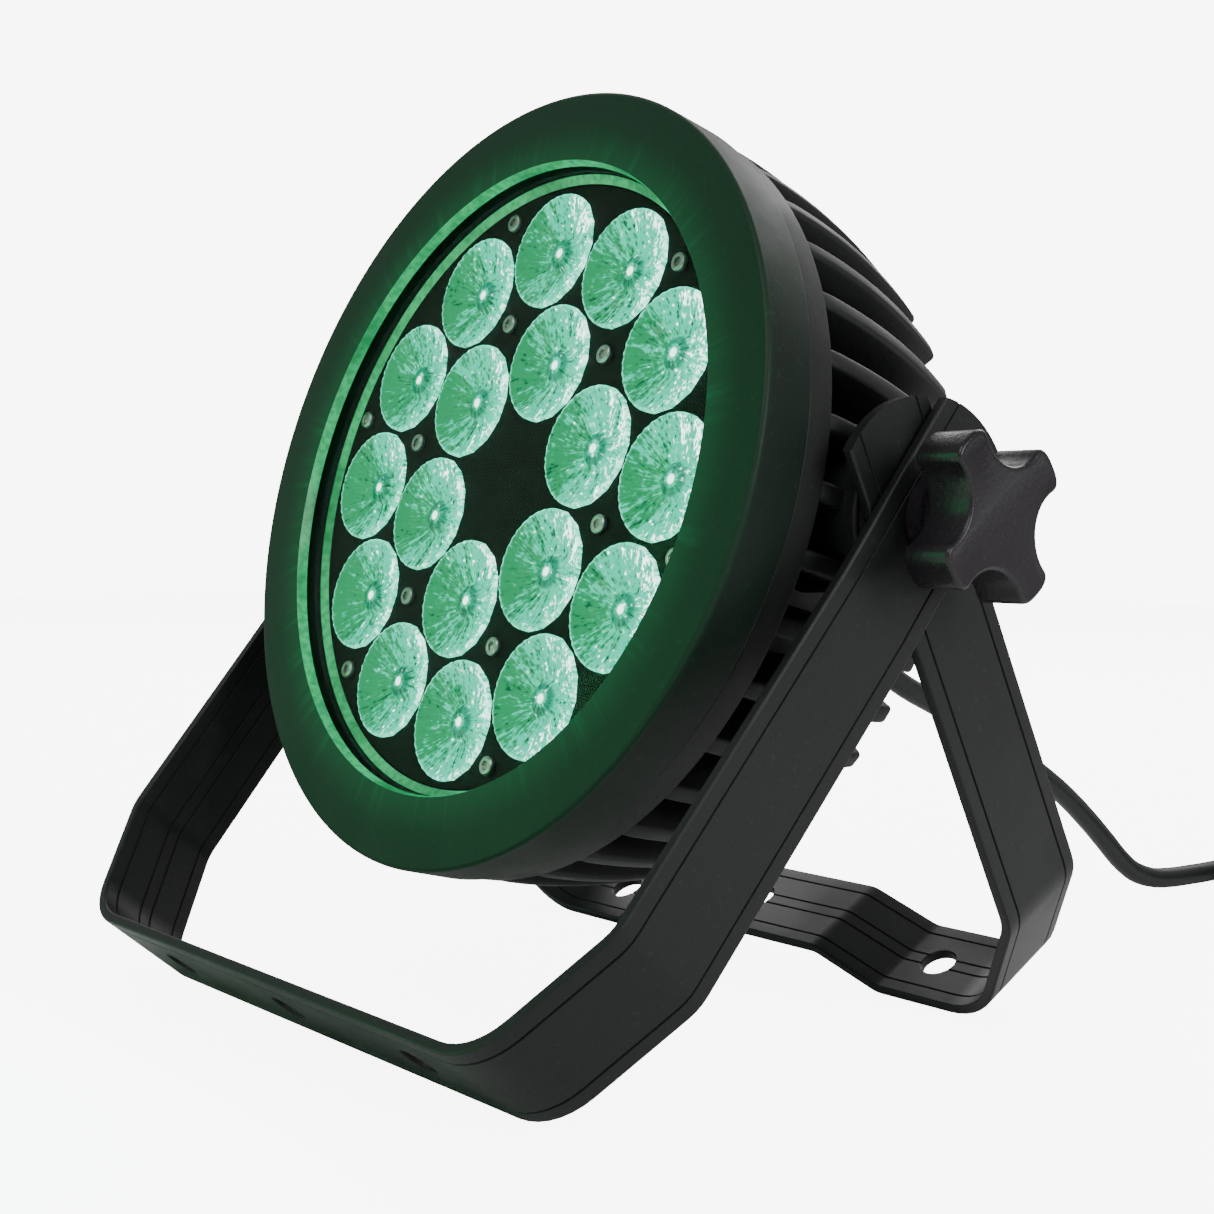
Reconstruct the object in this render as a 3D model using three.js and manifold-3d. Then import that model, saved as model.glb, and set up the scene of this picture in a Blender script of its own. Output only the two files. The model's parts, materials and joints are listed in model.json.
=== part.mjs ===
// LED par light for outdoor use: a finned cast housing with a bezel and 18 lenses, held between two U
// shaped straps that swing on one axis. Millimetres, +Z up, the light faces -Y, +X runs along the
// pivot axis, and the origin lies on the floor in the middle of the straps' feet.
import * as THREE from 'three';
import { mergeVertices } from 'three/addons/utils/BufferGeometryUtils.js';
import Module from 'manifold-3d';

const wasm = await Module();
wasm.setup();

// ---------------------------------------------------------------- driving dimensions
const GAP = 0.3;                      // clearance between pieces that touch

// head, measured along its own axis from the pivot axis, towards the light's front
const headTiltUp = 14.2;              // degrees above level
const lensPlane = 47.3;               // rims of the lenses
const bezelRadius = 129.6;
const bezelStand = 11.4;              // bezel face in front of the lens rims
const bezelDepth = 18.4;
const bezelWall = 4.0;
const bezelEdge = 1.4;
const openingRadius = 106.2;
const lipDepth = 3.9;
const glassThickness = 3.7;
const glassRadius = 112.0;
const gasketThickness = 1.8;
const collarRadius = 128.4;
const collarDepth = 9.7;
const housingWall = 4.5;
const coreFrontRadius = 104.0;
const coreRearRadius = 90.0;
const housingRear = -42.7;
const floorWall = 6.0;                // wall between the lens chamber and the driver chamber
const chamberDepth = 22.0;            // lens chamber, from its ledge down to the wall
const chamberRadius = 83.0;
const finCount = 40;
const finThickness = 6.2;
const finFrontRadius = 128.4;
const finRearRadius = 115.7;

// optics
const lensRadius = 19.85;
const lensClear = 0.45;
const outerRing = { count: 12, radius: 80.0, start: 0 };
const innerRing = { count: 6, radius: 41.4, start: 15 };
const lensHeight = 19.3;
const lensDome = 1.1;
const lensBaseRadius = 8.0;
const plateThickness = 2.2;
const plateBelowRims = 0.8;
const screwRings = [57.0, 95.8];
const screwStart = 45;                // degrees
const screwHeadRadius = 3.1;
const screwHeadHeight = 1.9;
const screwShankRadius = 1.45;
const screwLength = 8.5;
const postRadius = 4.0;
const lensSides = 16;
const screwSides = 6;
const boardThickness = 1.7;
const ledSize = 7.0;
const ledHeight = 3.2;

// rear
const rearGasketThickness = 1.6;
const coverRadius = 93.5;
const coverFlange = 4.4;
const coverRise = 8.0;
const coverWall = 4.0;
const plateauRadius = 66.0;
const windowSize = [60, 24];
const windowHeight = 34;              // above the head's axis
const buttonRadius = 4.4;
const buttonPitch = 18;
const buttonHeight = 10;
const buttonProud = 1.6;
const glandAt = [20, -22];
const ventAt = [-32, -30];
const boreRadius = 5.2;

// straps and pivot
const strapWidth = 36.7;
const strapThickness = 3.5;
const frontHalfSpan = 144.0;          // outer face of the front strap at the pivot
const strapSlack = 0.9;               // between the two straps at the pivot
const frontReach = 194.7;             // pivot axis to the outer face of the cross piece
const strapNesting = 21.7;            // the rear strap folds this far inside the front one
const frontAngle = 50.43;             // degrees below level, forwards
const toeIn = 5.2;
const frontChamfer = 43.7;            // height of the slanted corners
const rearChamfer = 41.5;
const chamferSlope = 0.605;
const endRadius = 35.0;
const jogRise = 11.7;
const jogStart = 44.0;
const jogEnd = 68.5;
const stripHoleRadius = 6.0;
const frontHolePitch = 71.0;
const rearHolePitch = 83.0;
const bossRadius = 21.5;
const washerThickness = 2.1;
const washerRadius = 20.0;
const studRadius = 4.9;
const studLength = 48.0;

// knob
const knobRadius = 26.5;
const knobLobeRadius = 6.5;
const knobWaist = 12.0;
const knobHubRadius = 13.0;
const knobHubHeight = 9.0;
const knobThickness = 16.0;
const knobTurn = 36;
const knobBevel = 2;
const knobBore = 8;                   // depth of the stud's bore above the hub
const studInKnob = 7.5;

// cord
const cordRadius = 4.5;
const coilCentre = [84, 411];
const coilMeanRadius = 53.5;          // twelve cord diameters across, two turns wide and two high
const reliefLength = 36.0;
const sleeveRadius = 6.2;
const sleeveLength = 30.0;
const plugRadius = 18.5;
const plugLength = 36.0;
const pinRadius = 2.4;
const pinLength = 19.0;
const pinSpacing = 19.0;

// ---------------------------------------------------------------- values that follow
const rad = THREE.MathUtils.degToRad;
const rearReach = frontReach - strapNesting;
const bendReach = frontReach - frontChamfer;
const rearBendReach = rearReach - rearChamfer;
const bezelFront = lensPlane + bezelStand;
const bezelRear = bezelFront - bezelDepth;
const lipRear = bezelFront - lipDepth;
const glassFront = lipRear - GAP;
const glassRear = glassFront - glassThickness;
const flangeTop = glassRear - gasketThickness - 2 * GAP;
const flangeRadius = bezelRadius - bezelWall - 0.4;
const collarFront = bezelRear - GAP;
const collarRear = collarFront - collarDepth;
const plateTop = lensPlane - plateBelowRims;
const plateRear = plateTop - plateThickness;
const plateRadius = outerRing.radius + lensRadius + 2.15;
const ledgeTop = plateRear - GAP;
const chamberFloor = ledgeTop - chamberDepth;
const lensBase = lensPlane - lensHeight;
const boardTop = chamberFloor + GAP + boardThickness;
const coverTop = housingRear - rearGasketThickness - 2 * GAP;
const coverFace = coverTop - coverFlange - coverRise;
const coverInside = coverFace + coverWall;
const rearHalfSpan = frontHalfSpan - strapThickness - strapSlack;
const rearInside = rearHalfSpan - strapThickness;
const bossEnd = rearInside - washerThickness - 2 * GAP;
const halfWidth = strapWidth / 2;
const pivotHeight = frontReach * Math.sin(rad(frontAngle)) + halfWidth * Math.cos(rad(frontAngle));
const rearFoot = Math.hypot(rearReach, halfWidth);
const rearDrop = Math.asin(pivotHeight / rearFoot) - Math.atan(halfWidth / rearReach);
const frontStretch = frontReach * Math.cos(rad(frontAngle)) + halfWidth * Math.sin(rad(frontAngle));
const rearStretch = rearReach * Math.cos(rearDrop) + halfWidth * Math.sin(rearDrop);
const pivotY = (frontStretch - rearStretch) / 2;
const screwSeat = plateTop + GAP;

// ---------------------------------------------------------------- materials
const finish = (color, roughness, metalness) => (
  new THREE.MeshStandardMaterial({ color, roughness, metalness })
);
const paint = finish(0x2b2e2f, 0.5, 0.3);
const strapPaint = finish(0x2c2e30, 0.45, 0.35);
const blackPlate = finish(0x0c100e, 0.55, 0.1);
const rubber = finish(0x151515, 0.8, 0.0);
const plastic = finish(0x1d1b1e, 0.3, 0.0);
const steel = finish(0xa8aaa8, 0.35, 0.9);
const lensClearPlastic = finish(0x18d893, 0.15, 0.0);
const glassSheet = finish(0xcfe6dc, 0.05, 0.0);
const boardGreen = finish(0x1c5f38, 0.5, 0.1);
const tray = finish(0xb9bcbc, 0.4, 0.8);

// ---------------------------------------------------------------- solids from geometry
function solid(geometry) {
  const bare = geometry.clone();
  bare.deleteAttribute('normal');
  bare.deleteAttribute('uv');
  const merged = mergeVertices(bare, 1e-4);
  const position = merged.getAttribute('position');
  const corner = [0, 1, 2].map(() => new THREE.Vector3());
  const triangles = [];
  let volume = 0;
  for (let i = 0; i < merged.index.count; i += 3) {
    const ids = [0, 1, 2].map((k) => merged.index.getX(i + k));
    if (new Set(ids).size < 3) continue;
    ids.forEach((id, k) => corner[k].fromBufferAttribute(position, id));
    volume += corner[0].dot(corner[1].clone().cross(corner[2]));
    triangles.push(ids);
  }
  const outward = volume < 0 ? triangles.map(([a, b, c]) => [a, c, b]) : triangles;
  return new wasm.Manifold(new wasm.Mesh({
    numProp: 3,
    vertProperties: new Float32Array(position.array),
    triVerts: new Uint32Array(outward.flat()),
  }));
}

const join = (first, ...others) => others.reduce((sum, next) => sum.add(next), first);
const cut = (first, ...others) => others.reduce((rest, next) => rest.subtract(next), first);

// A profile of [radius, height] points, turned about Z.
function turned(profile, segments = 48) {
  const points = profile.map(([r, z]) => new THREE.Vector2(r, z));
  return solid(new THREE.LatheGeometry(points, segments).rotateX(Math.PI / 2));
}

const ring = (inner, outer, low, high, segments) => turned(
  [[inner, low], [outer, low], [outer, high], [inner, high], [inner, low]], segments);

function rod(radius, low, high, at = [0, 0], segments = 16) {
  const body = new THREE.CylinderGeometry(radius, radius, high - low, segments).rotateX(Math.PI / 2);
  return solid(body.translate(at[0], at[1], (low + high) / 2));
}

function rodAlongX(radius, low, high, segments = 24) {
  const body = new THREE.CylinderGeometry(radius, radius, high - low, segments).rotateZ(Math.PI / 2);
  return solid(body.translate((low + high) / 2, 0, 0));
}

function block([x0, x1], [y0, y1], [z0, z1]) {
  const body = new THREE.BoxGeometry(x1 - x0, y1 - y0, z1 - z0);
  return solid(body.translate((x0 + x1) / 2, (y0 + y1) / 2, (z0 + z1) / 2));
}

function prism(shape, low, high, curveSegments = 8) {
  const options = { depth: high - low, bevelEnabled: false, curveSegments };
  return solid(new THREE.ExtrudeGeometry(shape, options).translate(0, 0, low));
}

function piece(name, body, material) {
  const mesh = body.getMesh();
  const geometry = new THREE.BufferGeometry();
  geometry.setAttribute('position', new THREE.BufferAttribute(new Float32Array(mesh.vertProperties), 3));
  geometry.setIndex(Array.from(mesh.triVerts));
  geometry.computeVertexNormals();
  const result = new THREE.Mesh(geometry, material);
  result.name = name;
  return result;
}

const polar = (radius, degrees) => [radius * Math.cos(rad(degrees)), radius * Math.sin(rad(degrees))];

function ringPoints({ count, radius, start }) {
  return Array.from({ length: count }, (_, i) => polar(radius, start + (360 / count) * i));
}

const lensPoints = [...ringPoints(outerRing), ...ringPoints(innerRing)];
const screwPoints = screwRings.flatMap((radius) => ringPoints({ count: 6, radius, start: screwStart }));

// ---------------------------------------------------------------- housing
function finOuter(z) {
  const along = (collarRear - z) / (collarRear - housingRear);
  return finFrontRadius - (finFrontRadius - finRearRadius) * along ** 2;
}

function fin() {
  const shape = new THREE.Shape();
  const inner = chamberRadius + housingWall / 2;
  shape.moveTo(housingRear, inner);
  shape.lineTo(housingRear, finRearRadius - 1.5);
  shape.lineTo(housingRear + 1.5, finOuter(housingRear + 1.5));
  const steps = 4;
  for (let i = 1; i <= steps; i++) {
    const z = housingRear + 1.5 + ((collarRear - housingRear - 1.5) * i) / steps;
    shape.lineTo(z, finOuter(z));
  }
  shape.lineTo(collarRear + 2, finFrontRadius - 0.5);
  shape.lineTo(collarRear + 2, coreFrontRadius - 2);
  const body = new THREE.ExtrudeGeometry(shape, { depth: finThickness, bevelEnabled: false });
  return body.translate(0, 0, -finThickness / 2).rotateY(-Math.PI / 2).rotateZ(-Math.PI / 2);
}

function housing() {
  const shell = turned([
    [0, chamberFloor - floorWall],
    [chamberRadius, chamberFloor - floorWall],
    [chamberRadius, housingRear],
    [coreRearRadius, housingRear],
    [coreFrontRadius, collarRear],
    [collarRadius, collarRear],
    [collarRadius, collarFront],
    [flangeRadius, collarFront],
    [flangeRadius, flangeTop],
    [openingRadius - 1.1, flangeTop],
    [plateRadius + 0.4, plateTop + 0.1],
    [plateRadius + 0.4, ledgeTop],
    [coreFrontRadius - housingWall, ledgeTop],
    [coreFrontRadius - housingWall, chamberFloor],
    [0, chamberFloor],
  ], finCount);
  const finSolid = solid(fin());
  const fins = Array.from({ length: finCount }, (_, i) => finSolid.rotate([0, 0, (360 / finCount) * i]));
  const bosses = [-1, 1].map((side) => rodAlongX(
    bossRadius, Math.min(side * (chamberRadius + 1), side * bossEnd),
    Math.max(side * (chamberRadius + 1), side * bossEnd), 32));
  const studHoles = [-1, 1].map((side) => {
    const ends = [side * (bossEnd - 34), side * (bossEnd + 1)];
    return rodAlongX(studRadius + 0.5, Math.min(...ends), Math.max(...ends));
  });
  const posts = screwPoints.map((at) => rod(postRadius, chamberFloor - 1, ledgeTop, at, 6));
  const postHoles = screwPoints.map((at) => rod(screwShankRadius + 0.3, ledgeTop - 9, ledgeTop + 1, at, 6));
  return cut(join(shell, ...fins, ...bosses, ...posts), ...studHoles, ...postHoles);
}

// ---------------------------------------------------------------- front pieces
function frontBezel() {
  const pocket = glassRadius + 0.4;
  const inside = bezelRadius - bezelWall;
  return turned([
    [inside, bezelRear],
    [bezelRadius - 1, bezelRear],
    [bezelRadius, bezelRear + 1],
    [bezelRadius, bezelFront - bezelEdge],
    [bezelRadius - bezelEdge * 0.3, bezelFront - bezelEdge * 0.3],
    [bezelRadius - bezelEdge, bezelFront],
    [openingRadius, bezelFront],
    [openingRadius - 0.8, lipRear],
    [pocket, lipRear],
    [pocket, flangeTop + GAP],
    [inside, flangeTop + GAP],
    [inside, bezelRear],
  ], 64);
}

function lensPlate() {
  const outline = new THREE.Shape().absarc(0, 0, plateRadius, 0, Math.PI * 2);
  const opening = (radius) => ([x, y]) => {
    const count = radius > 5 ? lensSides : screwSides;
    const points = ringPoints({ count, radius, start: 0 }).map(([u, v]) => new THREE.Vector2(x + u, y + v));
    return new THREE.Path(points);
  };
  outline.holes.push(...lensPoints.map(opening(lensRadius + lensClear)));
  outline.holes.push(...screwPoints.map(opening(screwShankRadius + 0.4)));
  return prism(outline, plateRear, plateTop, 24);
}

function lens(at) {
  const profile = [
    [0, lensBase + 3.2],
    [ledSize / 2 + 1.8, lensBase + 3.2],
    [ledSize / 2 + 1.8, lensBase],
    [lensBaseRadius, lensBase],
    [lensRadius, plateRear + 1],
    [lensRadius, lensPlane],
    [0, lensPlane + lensDome],
  ];
  return turned(profile, lensSides).translate([at[0], at[1], 0]);
}

function plateScrew(at) {
  const head = screwSeat + screwHeadHeight;
  return turned([
    [0, screwSeat - screwLength],
    [screwShankRadius, screwSeat - screwLength],
    [screwShankRadius, screwSeat],
    [screwHeadRadius, screwSeat],
    [screwHeadRadius, head - 0.7],
    [screwHeadRadius * 0.7, head],
    [0, head],
  ], screwSides).translate([at[0], at[1], 0]);
}

function ledBoard() {
  const disc = rod(coreFrontRadius - housingWall - 1.5, chamberFloor + GAP, boardTop, [0, 0], 48);
  const leds = lensPoints.map(([x, y]) => block(
    [x - ledSize / 2, x + ledSize / 2],
    [y - ledSize / 2, y + ledSize / 2],
    [boardTop - 0.2, boardTop + ledHeight],
  ));
  const holes = screwPoints.map((at) => rod(postRadius + 0.5, chamberFloor, boardTop + 1, at, 6));
  return cut(join(disc, ...leds), ...holes);
}

// ---------------------------------------------------------------- rear pieces
function rearCover() {
  const flangeRear = coverTop - coverFlange;
  const shell = turned([
    [0, coverFace],
    [plateauRadius - 2, coverFace],
    [plateauRadius, coverFace + 1.5],
    [plateauRadius + 7, flangeRear],
    [coverRadius - 2, flangeRear],
    [coverRadius, flangeRear + 2],
    [coverRadius, coverTop],
    [plateauRadius + 3, coverTop],
    [plateauRadius - 3, coverInside],
    [0, coverInside],
  ], 48);
  const [w, h] = windowSize;
  const through = [coverFace - 1, coverInside + 1];
  const windowHole = block([-w / 2, w / 2], [windowHeight - h / 2, windowHeight + h / 2], through);
  const buttonHoles = buttonPoints.map((at) => rod(buttonRadius + 0.4, ...through, at, 12));
  const glandHole = rod(8.4, ...through, glandAt);
  const ventHole = rod(4.3, ...through, ventAt);
  return cut(shell, windowHole, ...buttonHoles, glandHole, ventHole);
}

const buttonPoints = [-1.5, -0.5, 0.5, 1.5].map((i) => [i * buttonPitch, buttonHeight]);

function menuButton(at) {
  const stem = rod(buttonRadius, coverFace - buttonProud, coverInside + 3.8, at, 12);
  const collar = rod(buttonRadius + 1.2, coverInside + GAP, coverInside + 1.3, at, 12);
  return join(stem, collar);
}

function displayWindow() {
  const [w, h] = windowSize.map((size) => size - 2 * GAP);
  return block([-w / 2, w / 2], [windowHeight - h / 2, windowHeight + h / 2], [coverFace + 0.4, coverInside]);
}

const controlBoardFace = coverInside + 6.0;

function controlBoard() {
  const board = block([-42, 42], [-8, 48], [controlBoardFace, controlBoardFace + 1.6]);
  const display = block(
    [-27, 27],
    [windowHeight - 10, windowHeight + 10],
    [coverInside + 0.5, controlBoardFace + 0.2],
  );
  return join(board, display);
}

function powerSupply() {
  const top = chamberFloor - floorWall - GAP;
  const base = block([-62, 62], [-40, 32], [top - 3, top]);
  const transformer = block([-50, -10], [-30, 12], [top - 26, top - 2.5]);
  const coil = rod(14, top - 22, top - 2.5, [14, 4], 20);
  const cans = [[38, 18], [38, -6], [38, -28]].map((at) => rod(8, top - 24, top - 2.5, at));
  return join(base, transformer, coil, ...cans);
}

function cableGland() {
  const hex = rod(13, coverFace - GAP - 5, coverFace - GAP, glandAt, 6);
  const thread = rod(8, coverFace - 13, coverInside + 2, glandAt, 24);
  return cut(join(hex, thread), rod(boreRadius, coverFace - 20, coverInside + 3, glandAt));
}

function glandNut() {
  const start = coverFace - GAP - 5 - GAP;
  const tip = start - 13.5;
  return turned([
    [8.4, start], [8.4, coverFace - 13.6], [7.0, coverFace - 13.6], [7.0, tip],
    [8.6, tip], [11.2, tip + 4], [11.2, start], [8.4, start],
  ], 24).translate([...glandAt, 0]);
}

const reliefRadius = 6.5;
const reliefTipWall = 0.7;
const reliefStart = coverFace - 13.9; // inside the gland's nut
const reliefEnd = reliefStart - reliefLength;

function strainRelief() {
  return turned([
    [0, reliefEnd],
    [cordRadius + reliefTipWall, reliefEnd],
    [reliefRadius, reliefStart - 8],
    [reliefRadius, reliefStart],
    [0, reliefStart],
  ], 16).translate([...glandAt, 0]);
}

function pressureVent() {
  const cap = rod(7.5, coverFace - GAP - 3, coverFace - GAP, ventAt, 12);
  return join(cap, rod(3.9, coverFace - 1, coverInside + 1, ventAt));
}

// ---------------------------------------------------------------- straps
// A strap's middle line, from its right end to its left one, is a list of [x, y, bend radius] corners. The
// crossing piece lies towards -y. Corners are rounded by arcs.
function roundedLine(corners) {
  const points = [];
  corners.forEach(([x, y, bend], i) => {
    const here = new THREE.Vector2(x, y);
    if (!bend) {
      points.push(here);
      return;
    }
    const before = new THREE.Vector2(...corners[i - 1]).sub(here).normalize();
    const after = new THREE.Vector2(...corners[i + 1]).sub(here).normalize();
    const half = Math.acos(before.dot(after)) / 2;
    const reach = bend / Math.tan(half);
    const centre = before.clone().add(after).normalize().multiplyScalar(bend / Math.sin(half)).add(here);
    const from = before.multiplyScalar(reach).add(here).sub(centre);
    const to = after.multiplyScalar(reach).add(here).sub(centre);
    const turn = Math.atan2(from.cross(to), from.dot(to));
    const steps = Math.max(2, Math.round(Math.abs(turn) / rad(11)));
    for (let k = 0; k <= steps; k++) {
      points.push(from.clone().rotateAround(new THREE.Vector2(), (turn * k) / steps).add(centre));
    }
  });
  return points;
}

function strapSolid(corners) {
  const line = roundedLine(corners);
  const side = (offset) => line.map((point, i) => {
    const last = line[Math.max(i - 1, 0)];
    const next = line[Math.min(i + 1, line.length - 1)];
    const along = [point.clone().sub(last).normalize(), next.clone().sub(point).normalize()];
    const tangent = along[0].clone().add(along[1]).normalize();
    const widen = 1 / Math.max(tangent.dot(along[1]) || tangent.dot(along[0]), 0.5);
    return new THREE.Vector2(-tangent.y, tangent.x).multiplyScalar(offset * widen).add(point);
  });
  const half = strapThickness / 2;
  return prism(new THREE.Shape([...side(half), ...side(-half).reverse()]), -halfWidth, halfWidth);
}

// The ends are rounded about the pivot, and the bores take the clamping studs.
function strapFinish(strap, halfSpan, holes) {
  const tall = block([-halfSpan - 5, halfSpan + 5], [0, endRadius + 20], [-halfWidth - 5, halfWidth + 5]);
  const corners = tall.subtract(rodAlongX(endRadius, -halfSpan - 6, halfSpan + 6, 48));
  const bore = rodAlongX(studRadius + 0.5, -halfSpan - 5, halfSpan + 5);
  return cut(strap, corners, bore, ...holes);
}

function stripHole(x, y) {
  const hole = new THREE.CylinderGeometry(stripHoleRadius, stripHoleRadius, 30, 24);
  return solid(hole.translate(x, y, 0));
}

function strapSides(halfSpan, reach, bend, toe, cross) {
  const mid = strapThickness / 2;
  const x = halfSpan - mid;
  const low = -(reach - mid);
  const drop = -low - bend;
  const foot = x - toe - drop * chamferSlope;
  const right = [
    [x, endRadius + 1, 0], [x, -endRadius, 60], [x - toe, -bend, 14], [foot, low, 24],
  ];
  if (toe === 0) right.splice(1, 1);
  const left = right.map(([u, v, bendRadius]) => [-u, v, bendRadius]).reverse();
  return [...right, ...cross, ...left];
}

function frontYoke() {
  const holes = [-1, 0, 1].map((i) => stripHole(i * frontHolePitch, -frontReach));
  const line = strapSides(frontHalfSpan, frontReach, bendReach, toeIn, []);
  return strapFinish(strapSolid(line), frontHalfSpan, holes);
}

function rearYoke() {
  const low = -(rearReach - strapThickness / 2);
  const cross = [
    [jogEnd, low, 9], [jogStart, low + jogRise, 9], [-jogStart, low + jogRise, 9], [-jogEnd, low, 9],
  ];
  const holes = [-1, 0, 1].map((i) => stripHole(i * rearHolePitch, -rearReach));
  const line = strapSides(rearHalfSpan, rearReach, rearBendReach, 0, cross);
  return strapFinish(strapSolid(line), rearHalfSpan, holes);
}

// ------------------------------------------------ pivot pieces, along +Z from the pivot plane
function lockingKnob() {
  const outline = new THREE.Shape();
  const lobeCentre = knobRadius - knobLobeRadius - knobBevel;
  const sweep = 75;
  for (let i = 0; i < 4; i++) {
    const angle = knobTurn + 90 * i;
    const [x, y] = polar(lobeCentre, angle);
    const [wx, wy] = polar(knobWaist - 4, angle + 45);
    const [nx, ny] = polar(lobeCentre, angle + 90);
    const [sx, sy] = polar(knobLobeRadius, angle - sweep);
    const [ex, ey] = polar(knobLobeRadius, angle + 90 - sweep);
    if (i === 0) outline.moveTo(x + sx, y + sy);
    outline.absarc(x, y, knobLobeRadius, rad(angle - sweep), rad(angle + sweep), false);
    outline.quadraticCurveTo(wx, wy, nx + ex, ny + ey);
  }
  const base = frontHalfSpan + GAP + knobHubHeight;
  const star = new THREE.ExtrudeGeometry(outline, {
    depth: knobThickness - 2 * knobBevel,
    bevelThickness: knobBevel,
    bevelSize: knobBevel,
    bevelSegments: 1,
    curveSegments: 4,
  }).translate(0, 0, base + knobBevel);
  const hub = rod(knobHubRadius, frontHalfSpan + GAP, base + 2, [0, 0], 24);
  return cut(join(solid(star), hub), rod(studRadius + 0.4, frontHalfSpan, base + knobBore, [0, 0], 24));
}

const knobStud = () => {
  const end = frontHalfSpan + knobHubHeight + studInKnob;
  return rod(studRadius, end - studLength, end, [0, 0], 20);
};

const pivotWasher = () => {
  const low = bossEnd + GAP;
  return ring(studRadius + 0.6, washerRadius, low, low + washerThickness, 32);
};

// ---------------------------------------------------------------- cord
// Points of the free stretch, from the strain relief to the coil.
const headToRow = new THREE.Matrix4().makeRotationX(rad(90 - headTiltUp)).setPosition(0, pivotY, pivotHeight);
const cordStart = new THREE.Vector3(...glandAt, reliefEnd - GAP).applyMatrix4(headToRow);
const cordDirection = new THREE.Vector3(0, 0, -1).transformDirection(headToRow);
const coilLine = coilMeanRadius + cordRadius;
const coilOutside = coilMeanRadius + 2 * cordRadius;
const coilHeight = 4 * cordRadius;

// How far from the coil's centre line a tube on its outer turn meets the coil.
const coilMouth = (radius) => Math.sqrt((coilOutside + 0.6) ** 2 - (coilLine - radius) ** 2) + GAP;
const cordRoute = [
  [20, 152, 99.5], [20, 171, 91.5], [20, 191, 83], [20, 211, 73.5], [20, 230, 63.5], [20, 247, 54],
  [20, 261, 45], [20, 274, 35.5], [20, 286, 26], [20, 297, 17], [20.5, 308, 9.8], [22, 320, 5.8],
  [23.5, 333, 4.6], [25, 347, 4.5], [26, 362, 4.5],
];

function tube(points, radius, steps) {
  const path = new THREE.CatmullRomCurve3(points, false, 'centripetal');
  const section = new THREE.Shape(ringPoints({ count: 8, radius, start: 22.5 })
    .map(([x, y]) => new THREE.Vector2(x, y)));
  return solid(new THREE.ExtrudeGeometry(section, { steps, extrudePath: path, bevelEnabled: false }));
}

function powerCord() {
  const points = [
    cordStart, cordStart.clone().addScaledVector(cordDirection, 9),
    ...cordRoute.map((at) => new THREE.Vector3(...at)),
    new THREE.Vector3(coilCentre[0] - coilLine, coilCentre[1] - coilMouth(cordRadius), cordRadius),
  ];
  return tube(points, cordRadius, 36);
}

function cordCoil() {
  const low = cordRadius * (1 - Math.cos(rad(22.5)));
  const inside = coilMeanRadius - 2 * cordRadius;
  return ring(inside, coilOutside, low, coilHeight, 48).translate([...coilCentre, 0]);
}

// The plug lies on the floor beside the coil's last turn, and its sleeve comes down to that turn's height.
function powerPlug() {
  const x = coilCentre[0] + coilLine;
  const start = coilCentre[1] - coilMouth(sleeveRadius);
  const sleeve = tube([
    new THREE.Vector3(x, start, coilHeight - cordRadius),
    new THREE.Vector3(x, start - sleeveLength * 0.45, (coilHeight - cordRadius + plugRadius) / 2),
    new THREE.Vector3(x, start - sleeveLength, plugRadius),
    new THREE.Vector3(x, start - sleeveLength - 6, plugRadius),
  ], sleeveRadius, 8);
  const body = turned([
    [0, 0], [sleeveRadius + 1.5, 0], [12, 8], [plugRadius, 16], [plugRadius, plugLength], [0, plugLength],
  ], 24);
  const pins = [-1, 1].map((side) => rod(
    pinRadius, plugLength - 1, plugLength + pinLength, [side * pinSpacing / 2, 0], 12));
  const laid = join(body, ...pins).rotate([90, 0, 0]).translate([x, start - sleeveLength, plugRadius]);
  return join(sleeve, laid);
}

// ---------------------------------------------------------------- assembly
const light = new THREE.Group();
const add = (group, name, body, material) => group.add(piece(name, body, material));
const number = (i) => String(i + 1).padStart(2, '0');

const head = new THREE.Group();
head.position.set(0, pivotY, pivotHeight);
head.rotation.x = rad(90 - headTiltUp);
add(head, 'housing', housing(), paint);
add(head, 'front_bezel', frontBezel(), paint);
add(head, 'front_glass', rod(glassRadius, glassRear, glassFront, [0, 0], 64), glassSheet);
const glassGasket = ring(openingRadius - 0.6, glassRadius - 0.2, flangeTop + GAP, glassRear - GAP, 48);
add(head, 'glass_gasket', glassGasket, rubber);
add(head, 'lens_plate', lensPlate(), blackPlate);
lensPoints.forEach((at, i) => add(head, `lens_${number(i)}`, lens(at), lensClearPlastic));
screwPoints.forEach((at, i) => add(head, `plate_screw_${number(i)}`, plateScrew(at), steel));
add(head, 'led_board', ledBoard(), boardGreen);
add(head, 'power_supply', powerSupply(), tray);
add(head, 'control_board', controlBoard(), boardGreen);
const rearGasket = ring(chamberRadius + 1, coreRearRadius - 0.5, coverTop + GAP, housingRear - GAP, 48);
add(head, 'rear_gasket', rearGasket, rubber);
add(head, 'rear_cover', rearCover(), paint);
add(head, 'display_window', displayWindow(), glassSheet);
buttonPoints.forEach((at, i) => add(head, `menu_button_${i + 1}`, menuButton(at), plastic));
add(head, 'pressure_vent', pressureVent(), plastic);
add(head, 'cable_gland', cableGland(), plastic);
add(head, 'gland_nut', glandNut(), plastic);
add(head, 'strain_relief', strainRelief(), rubber);
light.add(head);

for (const [name, body, angle] of [
  ['front_yoke', frontYoke(), rad(frontAngle)],
  ['rear_yoke', rearYoke(), Math.PI - rearDrop],
]) {
  const swing = new THREE.Group();
  swing.position.set(0, pivotY, pivotHeight);
  swing.rotation.x = angle;
  add(swing, name, body, strapPaint);
  light.add(swing);
}

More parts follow.
